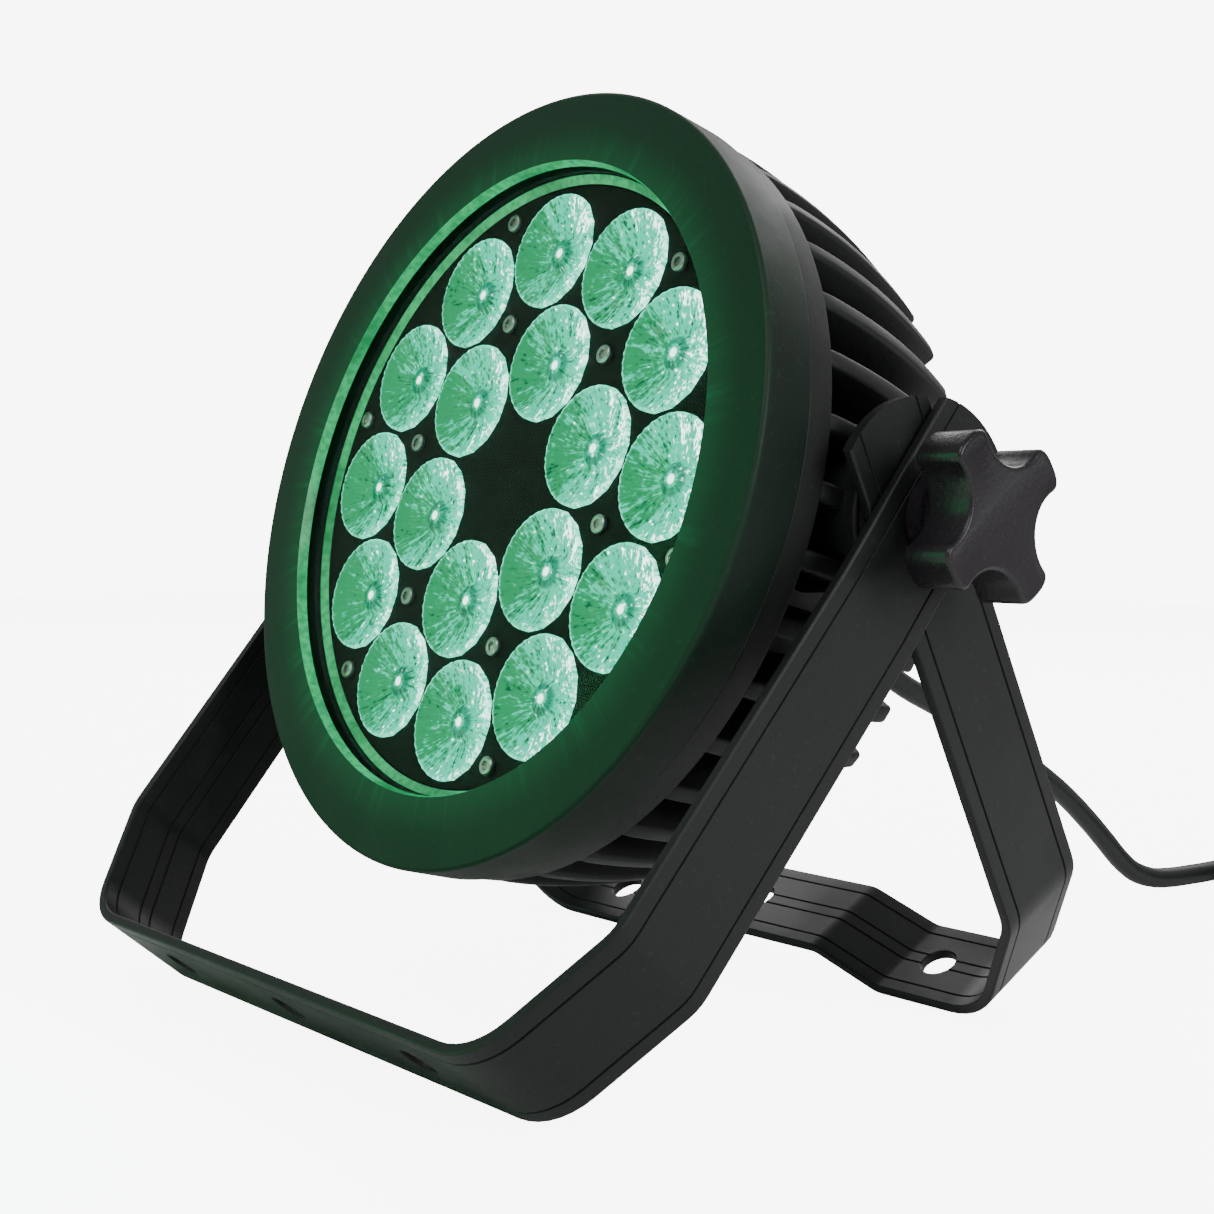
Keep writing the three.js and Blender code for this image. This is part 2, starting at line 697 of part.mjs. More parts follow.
for (const [side, turn] of [['right', 90], ['left', -90]]) {
  const pivot = new THREE.Group();
  pivot.position.set(0, pivotY, pivotHeight);
  pivot.rotation.y = rad(turn);
  add(pivot, `locking_knob_${side}`, lockingKnob(), plastic);
  add(pivot, `knob_stud_${side}`, knobStud(), steel);
  add(pivot, `pivot_washer_${side}`, pivotWasher(), plastic);
  light.add(pivot);
}

add(light, 'power_cord', powerCord(), rubber);
add(light, 'cord_coil', cordCoil(), rubber);
add(light, 'power_plug', powerPlug(), rubber);

export default light;
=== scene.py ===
"""Outdoor LED par light: finned head, eighteen lit lenses, two swinging straps, star knobs and a lead."""

from __future__ import annotations

import json
import logging
import math
from dataclasses import dataclass
from enum import Enum
from typing import Iterable, Sequence

import bmesh
import bpy
from mathutils import Matrix, Vector


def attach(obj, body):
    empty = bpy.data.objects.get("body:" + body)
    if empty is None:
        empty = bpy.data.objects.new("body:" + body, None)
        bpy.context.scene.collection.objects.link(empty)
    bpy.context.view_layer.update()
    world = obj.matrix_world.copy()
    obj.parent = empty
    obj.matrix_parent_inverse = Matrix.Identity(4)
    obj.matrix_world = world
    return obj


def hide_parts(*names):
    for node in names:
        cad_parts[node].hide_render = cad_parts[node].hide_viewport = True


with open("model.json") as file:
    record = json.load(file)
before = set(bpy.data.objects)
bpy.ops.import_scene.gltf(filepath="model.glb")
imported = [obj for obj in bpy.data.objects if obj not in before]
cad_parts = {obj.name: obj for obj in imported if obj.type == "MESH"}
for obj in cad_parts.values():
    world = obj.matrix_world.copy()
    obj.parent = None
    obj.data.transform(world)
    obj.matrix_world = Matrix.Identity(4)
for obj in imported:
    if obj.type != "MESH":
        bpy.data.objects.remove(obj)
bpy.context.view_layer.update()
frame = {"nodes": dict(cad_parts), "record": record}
LOG = logging.getLogger("par_light")

Point2 = tuple[float, float]
Colour = tuple[float, float, float, float]
Mesh = bmesh.types.BMesh
Piece = bpy.types.Object
Finish = bpy.types.Material
Tree = bpy.types.NodeTree
ShaderNode = bpy.types.Node
Socket = bpy.types.NodeSocket
MM = 0.001
ARC_STEP = math.radians(9)
JOINTS = {joint["name"]: joint for joint in frame["record"]["behaviour"]["joints"]}
MOUNTS = {mount["name"]: mount for mount in frame["record"]["mounts"]}
PIVOT = Vector(JOINTS["front_strap_swing"]["pos_m"])
FACING = Vector(JOINTS["menu_button_1_press"]["axis"]).normalized()
ACROSS = Vector((1.0, 0.0, 0.0))


class Body(str, Enum):
    """The moving bodies that pieces ride on."""

    HEAD = "head"
    FRONT_STRAP = "front_strap"
    REAR_STRAP = "rear_strap"
    KNOB_RIGHT = "knob_right"
    KNOB_LEFT = "knob_left"


class Slot(str, Enum):
    """The record's material slots."""

    HOUSING = "housing_paint"
    STRAP = "strap_paint"
    PLATE = "black_plate"
    RUBBER = "rubber"
    PLASTIC = "plastic"
    WASHER = "washer_plastic"
    STEEL = "steel"
    LENS = "lens"
    GLASS = "glass"
    BOARD = "board"
    TRAY = "tray"


# ------------------------------------------------------------------ places


def axes_matrix(x: Vector, y: Vector, z: Vector, origin: Vector) -> Matrix:
    """Matrix whose columns are three axes and an origin.

    Args:
        x, y, z: Unit axes.
        origin: Where the local origin lies.

    Returns:
        The 4x4 matrix.
    """
    return Matrix.Translation(origin) @ Matrix((x, y, z)).transposed().to_4x4()


HEAD_PLACE = axes_matrix(ACROSS, FACING.cross(ACROSS), FACING, PIVOT)


def strap_place(mount: str) -> Matrix:
    """Where a strap's own axes lie: +X across, -Y out to its cross piece, +Z across its width.

    Args:
        mount: The flat face on the strap's cross piece, whose normal points away from the pivot.

    Returns:
        The 4x4 matrix.
    """
    up = -Vector(MOUNTS[mount]["axis"]).normalized()
    return axes_matrix(ACROSS, up, ACROSS.cross(up), PIVOT)


def side_place(side: int) -> Matrix:
    """Where a pivot piece's axes lie, with +Z outwards along the pivot.

    Args:
        side: 1 for the +X side and -1 for the other.

    Returns:
        The 4x4 matrix.
    """
    return Matrix.Translation(PIVOT) @ Matrix.Rotation(side * math.pi / 2, 4, "Y")


# ------------------------------------------------------------------ outlines


def rounded(corners: Sequence[tuple[float, float, float]], closed: bool = False) -> list[Point2]:
    """A line through corners, each turned by an arc of its own radius.

    Args:
        corners: x, y and bend radius of each corner.
        closed: Whether the last corner joins the first.

    Returns:
        The points of the line.
    """
    points: list[Point2] = []
    count = len(corners)
    for i, (x, y, bend) in enumerate(corners):
        here = Vector((x, y))
        if bend <= 0 or (not closed and i in (0, count - 1)):
            points.append((x, y))
            continue
        before = (Vector(corners[i - 1][:2]) - here).normalized()
        after = (Vector(corners[(i + 1) % count][:2]) - here).normalized()
        half = math.acos(max(-1.0, min(1.0, before.dot(after)))) / 2
        centre = here + (before + after).normalized() * (bend / math.sin(half))
        start = here + before * (bend / math.tan(half)) - centre
        end = here + after * (bend / math.tan(half)) - centre
        turn = math.atan2(start.x * end.y - start.y * end.x, start.dot(end))
        steps = max(2, round(abs(turn) / ARC_STEP))
        for k in range(steps + 1):
            cos, sin = math.cos(turn * k / steps), math.sin(turn * k / steps)
            at = Vector((start.x * cos - start.y * sin, start.x * sin + start.y * cos))
            points.append(tuple(centre + at))
    return points


def ring_points(count: int, radius: float, start_deg: float) -> list[Point2]:
    """Points evenly round a circle.

    Args:
        count: How many.
        radius: The circle's radius.
        start_deg: Angle of the first point.

    Returns:
        The points.
    """
    step = math.tau / count
    start = math.radians(start_deg)
    return [(radius * math.cos(start + i * step), radius * math.sin(start + i * step)) for i in range(count)]


# ------------------------------------------------------------------ mesh tools


def spun(profile: Sequence[Point2], steps: int = 96, closed: bool = False) -> Mesh:
    """A profile turned about Z.

    Args:
        profile: Radius and height of each point, in millimetres.
        steps: Facets round the axis.
        closed: Whether the profile's last point joins its first.

    Returns:
        The turned mesh, in metres.
    """
    bm = bmesh.new()
    verts = [bm.verts.new((r * MM, 0.0, z * MM)) for r, z in profile]
    edges = [bm.edges.new(pair) for pair in zip(verts, verts[1:])]
    if closed:
        edges.append(bm.edges.new((verts[-1], verts[0])))
    bmesh.ops.spin(bm, geom=verts + edges, cent=(0, 0, 0), axis=(0, 0, 1), dvec=(0, 0, 0),
                   angle=math.tau, steps=steps, use_merge=True, use_duplicate=False)
    bmesh.ops.remove_doubles(bm, verts=bm.verts, dist=1e-6)
    bmesh.ops.recalc_face_normals(bm, faces=bm.faces)
    return bm


def slab(outline: Sequence[Point2], low: float, high: float) -> Mesh:
    """An outline in the XY plane given a thickness.

    Args:
        outline: Points in millimetres.
        low: Lower height in millimetres.
        high: Upper height in millimetres.

    Returns:
        The closed mesh, in metres.
    """
    bm = bmesh.new()
    face = bm.faces.new([bm.verts.new((x * MM, y * MM, low * MM)) for x, y in outline])
    grown = bmesh.ops.extrude_face_region(bm, geom=[face])
    moved = [v for v in grown["geom"] if isinstance(v, bmesh.types.BMVert)]
    bmesh.ops.translate(bm, verts=moved, vec=(0, 0, (high - low) * MM))
    bmesh.ops.recalc_face_normals(bm, faces=bm.faces)
    return bm


def soften(bm: Mesh, width: float, segments: int = 2, angle: float = 35.0) -> None:
    """Rounds every edge that turns by more than an angle.

    Args:
        bm: The mesh.
        width: Size of the rounding in millimetres.
        segments: Facets across it.
        angle: Smallest turn that is rounded, in degrees.
    """
    limit = math.radians(angle)
    edges = [e for e in bm.edges if len(e.link_faces) == 2 and e.calc_face_angle(0.0) > limit]
    bmesh.ops.bevel(bm, geom=edges, offset=width * MM, offset_type="OFFSET", affect="EDGES",
                    segments=segments, profile=0.5, material=-1, clamp_overlap=True)


def joined(parts: Iterable[Mesh]) -> Mesh:
    """Several meshes as one.

    Args:
        parts: The meshes, which are freed.

    Returns:
        The mesh that holds them all.
    """
    whole = bmesh.new()
    for part in parts:
        held = bpy.data.meshes.new("held")
        part.to_mesh(held)
        part.free()
        whole.from_mesh(held)
        bpy.data.meshes.remove(held)
    return whole


def moved(bm: Mesh, matrix: Matrix) -> Mesh:
    """The same mesh after a transform."""
    bmesh.ops.transform(bm, matrix=matrix, space=Matrix.Identity(4), verts=bm.verts)
    return bm


def rod(radius: float, low: float, high: float, at: Point2 = (0.0, 0.0), steps: int = 48) -> Mesh:
    """A plain round rod along Z, for cutting and joining.

    Args:
        radius: Radius in millimetres.
        low: Lower height in millimetres.
        high: Upper height in millimetres.
        at: Centre in millimetres.
        steps: Facets round it.

    Returns:
        The mesh, in metres.
    """
    bm = bmesh.new()
    bmesh.ops.create_cone(bm, cap_ends=True, segments=steps, radius1=radius * MM, radius2=radius * MM,
                          depth=(high - low) * MM)
    return moved(bm, Matrix.Translation(Vector((at[0], at[1], (low + high) / 2)) * MM))


def brick(low: Sequence[float], high: Sequence[float]) -> Mesh:
    """A block between two corners in millimetres."""
    bm = bmesh.new()
    size = [(b - a) * MM for a, b in zip(low, high)]
    middle = Vector([(a + b) / 2 for a, b in zip(low, high)]) * MM
    bmesh.ops.create_cube(bm, size=1.0, matrix=Matrix.Translation(middle) @ Matrix.Diagonal((*size, 1.0)))
    return bm


def mesh_object(name: str, bm: Mesh, smooth_angle: float = 28.0) -> Piece:
    """Turns a bmesh into an object whose sharp edges stay crisp.

    Args:
        name: Name of the piece.
        bm: The mesh, which is freed.
        smooth_angle: Edges that turn by more stay sharp, in degrees.

    Returns:
        The new object.
    """
    limit = math.radians(smooth_angle)
    for face in bm.faces:
        face.smooth = True
    for edge in bm.edges:
        edge.smooth = len(edge.link_faces) != 2 or edge.calc_face_angle(0.0) < limit
    mesh = bpy.data.meshes.new(name)
    bm.to_mesh(mesh)
    bm.free()
    piece = bpy.data.objects.new(name, mesh)
    bpy.context.scene.collection.objects.link(piece)
    return piece


def carve(bm: Mesh, cutters: Iterable[Mesh]) -> Mesh:
    """Cuts solids out of a closed mesh.

    Args:
        bm: The mesh to cut, which is freed.
        cutters: Closed meshes, which are freed.

    Returns:
        What is left.
    """
    body = mesh_object("carved", bm)
    knife = mesh_object("knife", joined(cutters))
    cut = body.modifiers.new("cut", "BOOLEAN")
    cut.object = knife
    cut.operation = "DIFFERENCE"
    cut.solver = "EXACT"
    cut.use_self = True
    bpy.context.view_layer.update()
    depsgraph = bpy.context.evaluated_depsgraph_get()
    result = bmesh.new()
    result.from_mesh(body.evaluated_get(depsgraph).to_mesh())
    for used in (body, knife):
        mesh = used.data
        bpy.data.objects.remove(used)
        bpy.data.meshes.remove(mesh)
    bmesh.ops.remove_doubles(result, verts=result.verts, dist=2e-6)
    return result


def dress(piece: Piece, slot: Slot, *finishes: Finish) -> Piece:
    """Gives a piece its finishes."""
    piece.data.materials.clear()
    for finish in finishes:
        piece.data.materials.append(finish)
    return piece


def settle(piece: Piece, body: Body | str, *nodes: str) -> Piece:
    """Makes a piece ride on a body and stand for its plain solids."""
    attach(piece, body.value if isinstance(body, Body) else body)
    if nodes:
        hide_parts(*nodes)
    LOG.info("%s: %d faces", piece.name, len(getattr(piece.data, "polygons", ())))
    return piece


# ------------------------------------------------------------------ finishes


class Nodes:
    """A node tree that is being built."""

    def __init__(self, tree: Tree) -> None:
        """Keeps the tree."""
        self.tree = tree

    def add(self, kind: str, inputs: dict | None = None, **settings) -> ShaderNode:
        """Adds a node.

        Args:
            kind: Blender's node type.
            inputs: Values or sockets for its inputs, by name or number.
            **settings: Attributes of the node itself.

        Returns:
            The new node.
        """
        node = self.tree.nodes.new(kind)
        for key, value in settings.items():
            setattr(node, key, value)
        self.join(node, inputs or {})
        return node

    def math(self, operation: str, *values: float | Socket) -> Socket:
        """One arithmetic step, and its result socket."""
        return self.add("ShaderNodeMath", dict(enumerate(values)), operation=operation).outputs[0]

    def times(self, first: float | Socket, second: float | Socket) -> Socket:
        """A product, and its result socket."""
        return self.math("MULTIPLY", first, second)

    def plus(self, first: float | Socket, second: float | Socket) -> Socket:
        """A sum, and its result socket."""
        return self.math("ADD", first, second)

    def vector(self, operation: str, first: Socket, second: Sequence[float] | Socket | None = None) -> Socket:
        """One step of vector arithmetic, and its result socket."""
        inputs = {0: first} if second is None else {0: first, 1: second}
        return self.add("ShaderNodeVectorMath", inputs, operation=operation).outputs[0]

    def scaled(self, vector: Socket, scale: float) -> Socket:
        """A vector made longer, and its result socket."""
        return self.add("ShaderNodeVectorMath", {0: vector, "Scale": scale}, operation="SCALE").outputs[0]

    def parts(self, vector: Socket) -> Sequence[Socket]:
        """A vector's three numbers."""
        return self.add("ShaderNodeSeparateXYZ", {0: vector}).outputs

    def place(self) -> Socket:
        """Place on the light, in metres."""
        return self.add("ShaderNodeTexCoord").outputs["Object"]

    def noise(self, vector: Socket, scale: float | Socket, detail: float) -> Socket:
        """Soft noise from 0 to 1, and its result socket."""
        inputs = {"Vector": vector, "Scale": scale, "Detail": detail}
        return self.add("ShaderNodeTexNoise", inputs).outputs["Fac"]

    def cells(self, vector: Socket, scale: float) -> Socket:
        """Distance from the middles of small cells, and its result socket."""
        return self.add("ShaderNodeTexVoronoi", {"Vector": vector, "Scale": scale}).outputs["Distance"]

    def mix(self, factor: float | Socket, first: Colour | Socket, second: Colour | Socket) -> Socket:
        """A blend of two colours by a factor, and its result socket."""
        return self.add("ShaderNodeMix", {0: factor, 6: first, 7: second}, data_type="RGBA").outputs[2]

    def join(self, shader: ShaderNode, sockets: dict) -> None:
        """Sets or links a node's inputs, by name or number."""
        for key, value in sockets.items():
            if isinstance(value, Socket):
                self.tree.links.new(value, shader.inputs[key])
            else:
                shader.inputs[key].default_value = value

    def about(self, value: Socket, middle: float, gain: float) -> Socket:
        """Distance from a middle value, made larger, and its result socket."""
        return self.times(self.math("SUBTRACT", value, middle), gain)

    def span(
        self, value: Socket, low: float, high: float, out_low: float = 0.0, out_high: float = 1.0,
    ) -> Socket:
        """A smooth change of range, held within its ends, and its result socket."""
        node = self.add("ShaderNodeMapRange", {0: value, 1: low, 2: high, 3: out_low, 4: out_high},
                        interpolation_type="SMOOTHSTEP")
        return node.outputs[0]


def new_group(name: str, inputs: dict[str, float], outputs: dict[str, str]) -> tuple[Tree, Nodes]:
    """An empty shader group with named sockets.

    Args:
        name: The group's name.
        inputs: Default of each number input.
        outputs: Socket type of each output.

    Returns:
        The group and its builder.
    """
    group = bpy.data.node_groups.new(name, "ShaderNodeTree")
    for key, value in inputs.items():
        socket = group.interface.new_socket(name=key, in_out="INPUT", socket_type="NodeSocketFloat")
        socket.default_value = value
    for key, kind in outputs.items():
        group.interface.new_socket(name=key, in_out="OUTPUT", socket_type=kind)
    return group, Nodes(group)


def fine_grain() -> Tree:
    """Small grain of a coat or moulding, as a normal.

    Returns:
        The group.
    """
    defaults = {"Scale": 1500.0, "Strength": 0.2, "Depth": 0.0002}
    group, nodes = new_group("fine grain", defaults, {"Normal": "NodeSocketVector"})
    given = nodes.add("NodeGroupInput").outputs
    noise = nodes.add("ShaderNodeTexNoise", {
        "Vector": nodes.place(), "Scale": given["Scale"], "Detail": 3.0, "Roughness": 0.6,
    })
    bump = nodes.add("ShaderNodeBump", {
        "Strength": given["Strength"], "Distance": given["Depth"], "Height": noise.outputs["Fac"],
    })
    nodes.add("NodeGroupOutput", {"Normal": bump.outputs["Normal"]})
    return group


def handling() -> Tree:
    """Soft cloudy marks and small specks that a surface picks up in use.

    Returns:
        The group.
    """
    group, nodes = new_group("handling", {"Cloud Scale": 22.0, "Speck Scale": 420.0},
                             {"Cloud": "NodeSocketFloat", "Specks": "NodeSocketFloat"})
    given = nodes.add("NodeGroupInput").outputs
    place = nodes.place()
    cloud = nodes.noise(place, given["Cloud Scale"], 4.0)
    speck = nodes.noise(place, given["Speck Scale"], 1.0)
    nodes.add("NodeGroupOutput", {
        "Cloud": nodes.span(cloud, 0.35, 0.68), "Specks": nodes.span(speck, 0.66, 0.74),
    })
    return group


class Effects:
    """The shared groups, each made once."""

    grain: Tree
    handling: Tree

    @classmethod
    def prepare(cls) -> None:
        """Builds the groups."""
        cls.grain = fine_grain()
        cls.handling = handling()


def new_finish(name: str) -> tuple[Finish, Nodes, ShaderNode]:
    """A material with one shader joined to its output.

    Args:
        name: The finish's name.

    Returns:
        The material, its builder and its shader node.
    """
    material = bpy.data.materials.new(name)
    material.use_nodes = True
    tree = material.node_tree
    tree.nodes.clear()
    nodes = Nodes(tree)
    shader = nodes.add("ShaderNodeBsdfPrincipled")
    nodes.add("ShaderNodeOutputMaterial", {"Surface": shader.outputs[0]})
    return material, nodes, shader


@dataclass(frozen=True)
class Coat:
    """A painted, moulded or rubber surface with grain and marks of use."""

    name: str
    colour: Colour
    marked: Colour
    roughness: float = 0.5
    marked_roughness: float = 0.6
    grain_scale: float = 1500.0
    grain_strength: float = 0.25
    grain_depth: float = 0.0002
    metallic: float = 0.0
    coat: float = 0.0
    specular: float = 0.28
    speck_gain: float = 3.0
    speck_amount: float = 0.25

    def material(self) -> Finish:
        """Builds the finish."""
        material, nodes, shader = new_finish(self.name)
        self.fill(nodes, shader)
        return material

    def fill(self, nodes: Nodes, shader: ShaderNode) -> None:
        """Joins grain and marks to the shader.

        Args:
            nodes: The builder.
            shader: The shader node.
        """
        grain = nodes.add("ShaderNodeGroup", node_tree=Effects.grain)
        sizes = {"Scale": self.grain_scale, "Strength": self.grain_strength, "Depth": self.grain_depth}
        nodes.join(grain, sizes)
        marks = nodes.add("ShaderNodeGroup", node_tree=Effects.handling).outputs
        base = nodes.mix(marks["Cloud"], self.colour, self.marked)
        light = tuple(min(1.0, part * self.speck_gain) for part in self.marked[:3]) + (1.0,)
        nodes.join(shader, {
            "Base Color": nodes.mix(nodes.times(marks["Specks"], self.speck_amount), base, light),
            "Roughness": nodes.span(marks["Cloud"], 0.0, 1.0, self.roughness, self.marked_roughness),
            "Normal": grain.outputs["Normal"],
            "Metallic": self.metallic,
            "Specular IOR Level": self.specular,
            "Coat Weight": self.coat,
            "Coat Roughness": 0.2,
        })


def head_radius(nodes: Nodes) -> tuple[Socket, Socket, Socket]:
    """Distance from the head's axis, height along it and direction across it.

    Args:
        nodes: The builder.

    Returns:
        The three result sockets, in metres and as a unit vector.
    """
    turn = {"Vector": nodes.place(), "Location": tuple(PIVOT), "Rotation": tuple(HEAD_PLACE.to_euler())}
    x, y, z = nodes.parts(nodes.add("ShaderNodeMapping", turn, vector_type="TEXTURE").outputs[0])
    flat = nodes.add("ShaderNodeCombineXYZ", {0: x, 1: y}).outputs[0]
    radius = nodes.math("SQRT", nodes.plus(nodes.times(x, x), nodes.times(y, y)))
    return radius, z, nodes.vector("NORMALIZE", flat)


@dataclass(frozen=True)
class LitCoat(Coat):
    """A coat on the front of the head, with the lenses' light spilling over it painted as a green glow in its
    emission.
    """

    spill: Colour = (0.0, 0.30, 0.095, 1.0)
    near: float = 0.105
    far: float = 0.1265
    even_glow: float = 0.05
    fade: float = 2.2
    ray_count: float = 26.0
    near_glow: float = 0.13
    ray_glow: float = 0.12
    front: Point2 = (0.0555, 0.0585)

    def fill(self, nodes: Nodes, shader: ShaderNode) -> None:
        """Joins grain, marks and a painted glow of spilt lens light to the shader.

        Args:
            nodes: The builder.
            shader: The shader node.
        """
        super().fill(nodes, shader)
        radius, height, spoke = head_radius(nodes)
        # Painted light: green emission stands in for the lenses' light, strongest near the opening and
        # streaked in rays.
        close = nodes.math("POWER", nodes.span(radius, self.near, self.far, 1.0, 0.0), self.fade)
        ray = nodes.noise(nodes.scaled(spoke, self.ray_count), 1.0, 2.0)
        rays = nodes.times(nodes.span(ray, 0.5, 0.72), close)
        level = nodes.plus(nodes.times(close, self.near_glow), nodes.times(rays, self.ray_glow))
        amount = nodes.times(nodes.plus(level, self.even_glow), nodes.span(height, *self.front))
        nodes.join(shader, {
            "Emission Color": nodes.mix(amount, (0.0, 0.0, 0.0, 1.0), self.spill),
            "Emission Strength": 1.0,
        })


@dataclass(frozen=True)
class LitEdge:
    """A polished edge inside the opening, with the lenses' light painted on it in streaks as glow and a green
    base colour.
    """

    name: str
    dim: Colour = (0.0, 0.07, 0.012, 1.0)
    bright: Colour = (0.0, 0.46, 0.135, 1.0)
    dim_base: Colour = (0.01, 0.05, 0.02, 1.0)
    bright_base: Colour = (0.03, 0.2, 0.08, 1.0)
    broad_scale: float = 34.0
    fine_scale: float = 420.0
    strength: float = 1.0

    def material(self) -> Finish:
        """Builds the finish."""
        material, nodes, shader = new_finish(self.name)
        place = nodes.place()
        # Painted light: the streaks brighten both the glow and the base colour.
        broad = nodes.span(nodes.noise(place, self.broad_scale, 2.0), 0.3, 0.6, 0.45, 1.0)
        fine = nodes.span(nodes.noise(place, self.fine_scale, 2.0), 0.3, 0.65, 0.55, 1.0)
        amount = nodes.times(broad, fine)
        nodes.join(shader, {
            "Emission Color": nodes.mix(amount, self.dim, self.bright),
            "Base Color": nodes.mix(amount, self.dim_base, self.bright_base),
            "Emission Strength": self.strength,
            "Roughness": 0.25,
        })
        return material


@dataclass(frozen=True)
class LitLens:
    """Clear optical plastic over a lit diode: streaks run from the middle to a bright rim."""

    name: str
    green: Colour = (0.0, 0.088, 0.029, 1.0)
    deep: Colour = (0.0, 0.017, 0.007, 1.0)
    cyan: Colour = (0.0, 0.230, 0.140, 1.0)
    white: Colour = (0.70, 1.0, 0.95, 1.0)
    rim: Colour = (0.06, 0.48, 0.32, 1.0)
    base: Colour = (0.0, 0.02, 0.008, 1.0)
    facet_scale: float = 620.0
    glint_scale: float = 330.0
    strength: float = 4.5

    def material(self) -> Finish:
        """Builds the finish, on the lens's own map."""
        material, nodes, shader = new_finish(self.name)
        chart = nodes.add("ShaderNodeUVMap", uv_map="lens").outputs[0]
        disc = nodes.vector("MULTIPLY", nodes.vector("SUBTRACT", chart, (0.5, 0.5, 0.0)), (2.0, 2.0, 0.0))
        radius = nodes.add("ShaderNodeVectorMath", {0: disc}, operation="LENGTH").outputs["Value"]
        spoke = nodes.vector("NORMALIZE", disc)
        place = nodes.place()
        broad = self.streaks(nodes, spoke, place, radius, turns=4.5, drift=40.0, run=1.6)
        fine = self.streaks(nodes, spoke, place, radius, turns=21.0, drift=160.0, run=7.0)
        texture = nodes.plus(nodes.about(broad, 0.5, 1.7), nodes.about(fine, 0.5, 1.6))
        texture = nodes.plus(texture, nodes.about(nodes.cells(place, self.facet_scale), 0.42, 0.7))
        # Painted light: each lens is brighter towards its own +X side and its top and bottom, and lenses
        # further along +X are brighter still.
        across, up, _ = nodes.parts(disc)
        upright = nodes.math("ABSOLUTE", nodes.plus(up, 0.1))
        painted_side_light = nodes.plus(nodes.times(across, 0.62), nodes.times(upright, 0.36))
        painted_side_light = nodes.plus(painted_side_light, nodes.times(nodes.parts(place)[0], 1.5))
        level = nodes.plus(painted_side_light, texture)
        cool = nodes.mix(nodes.span(level, -0.15, 0.34), self.green, self.cyan)
        shade = nodes.mix(nodes.span(texture, -0.62, -0.18, 0.9, 0.0), cool, self.deep)
        lit = nodes.mix(nodes.span(level, 0.68, 1.10), shade, self.white)
        # Painted glints: small white cells, stronger where the lens is painted brighter.
        glint = nodes.span(nodes.cells(place, self.glint_scale), 0.12, 0.20, 1.0, 0.0)
        lit = nodes.mix(nodes.times(glint, nodes.span(level, 0.05, 0.5)), lit, self.white)
        core = nodes.times(nodes.span(radius, 0.13, 0.16), nodes.span(radius, 0.24, 0.30, 1.0, 0.0))
        lit = nodes.mix(nodes.times(core, 0.65), lit, self.deep)
        middle = nodes.span(radius, 0.05, 0.10, 1.0, 0.0)
        lit = nodes.mix(nodes.times(middle, 0.8), lit, self.white)
        edge = nodes.times(nodes.span(radius, 0.94, 0.975), nodes.span(fine, 0.35, 0.6, 0.1, 0.75))
        edged = nodes.mix(edge, lit, self.rim)
        nodes.join(shader, {
            "Emission Color": edged,
            "Base Color": nodes.mix(0.85, edged, self.base),
            "Emission Strength": self.strength,
            "Roughness": 0.12,
            "Specular IOR Level": 0.35,
        })
        return material

    @staticmethod
    def streaks(
        nodes: Nodes, spoke: Socket, place: Socket, radius: Socket, turns: float, drift: float, run: float,
    ) -> Socket:
        """Light and dark streaks that run outwards from the lens's middle.

        Args:
            nodes: The builder.
            spoke: Direction from the middle.
            place: Place on the light.
            radius: Distance from the middle.
            turns: How many streaks there are round the lens.
            drift: How fast they differ from lens to lens.
            run: How often a streak breaks up along its run.

        Returns:
            The result socket.
        """
        course = nodes.vector("ADD", nodes.scaled(spoke, turns), nodes.scaled(place, drift))
        out = nodes.add("ShaderNodeCombineXYZ", {2: nodes.times(radius, run)}).outputs[0]
        return nodes.noise(nodes.vector("ADD", course, out), 1.0, 2.0)


@dataclass(frozen=True)
class Pane:
    """Clear sheet."""

    name: str
    tint: Colour = (0.96, 1.0, 0.98, 1.0)
    roughness: float = 0.02
    bloom: float = 0.03
    bending: float = 1.09

    def material(self) -> Finish:
        """Builds the finish, with a faint bloom of dust in its roughness."""
        material, nodes, shader = new_finish(self.name)
        marks = nodes.add("ShaderNodeGroup", node_tree=Effects.handling).outputs
        nodes.join(shader, {
            "Roughness": nodes.span(marks["Cloud"], 0.0, 1.0, self.roughness, self.roughness + self.bloom),
            "Base Color": self.tint,
            "Transmission Weight": 1.0,
            "IOR": self.bending,
        })
        return material


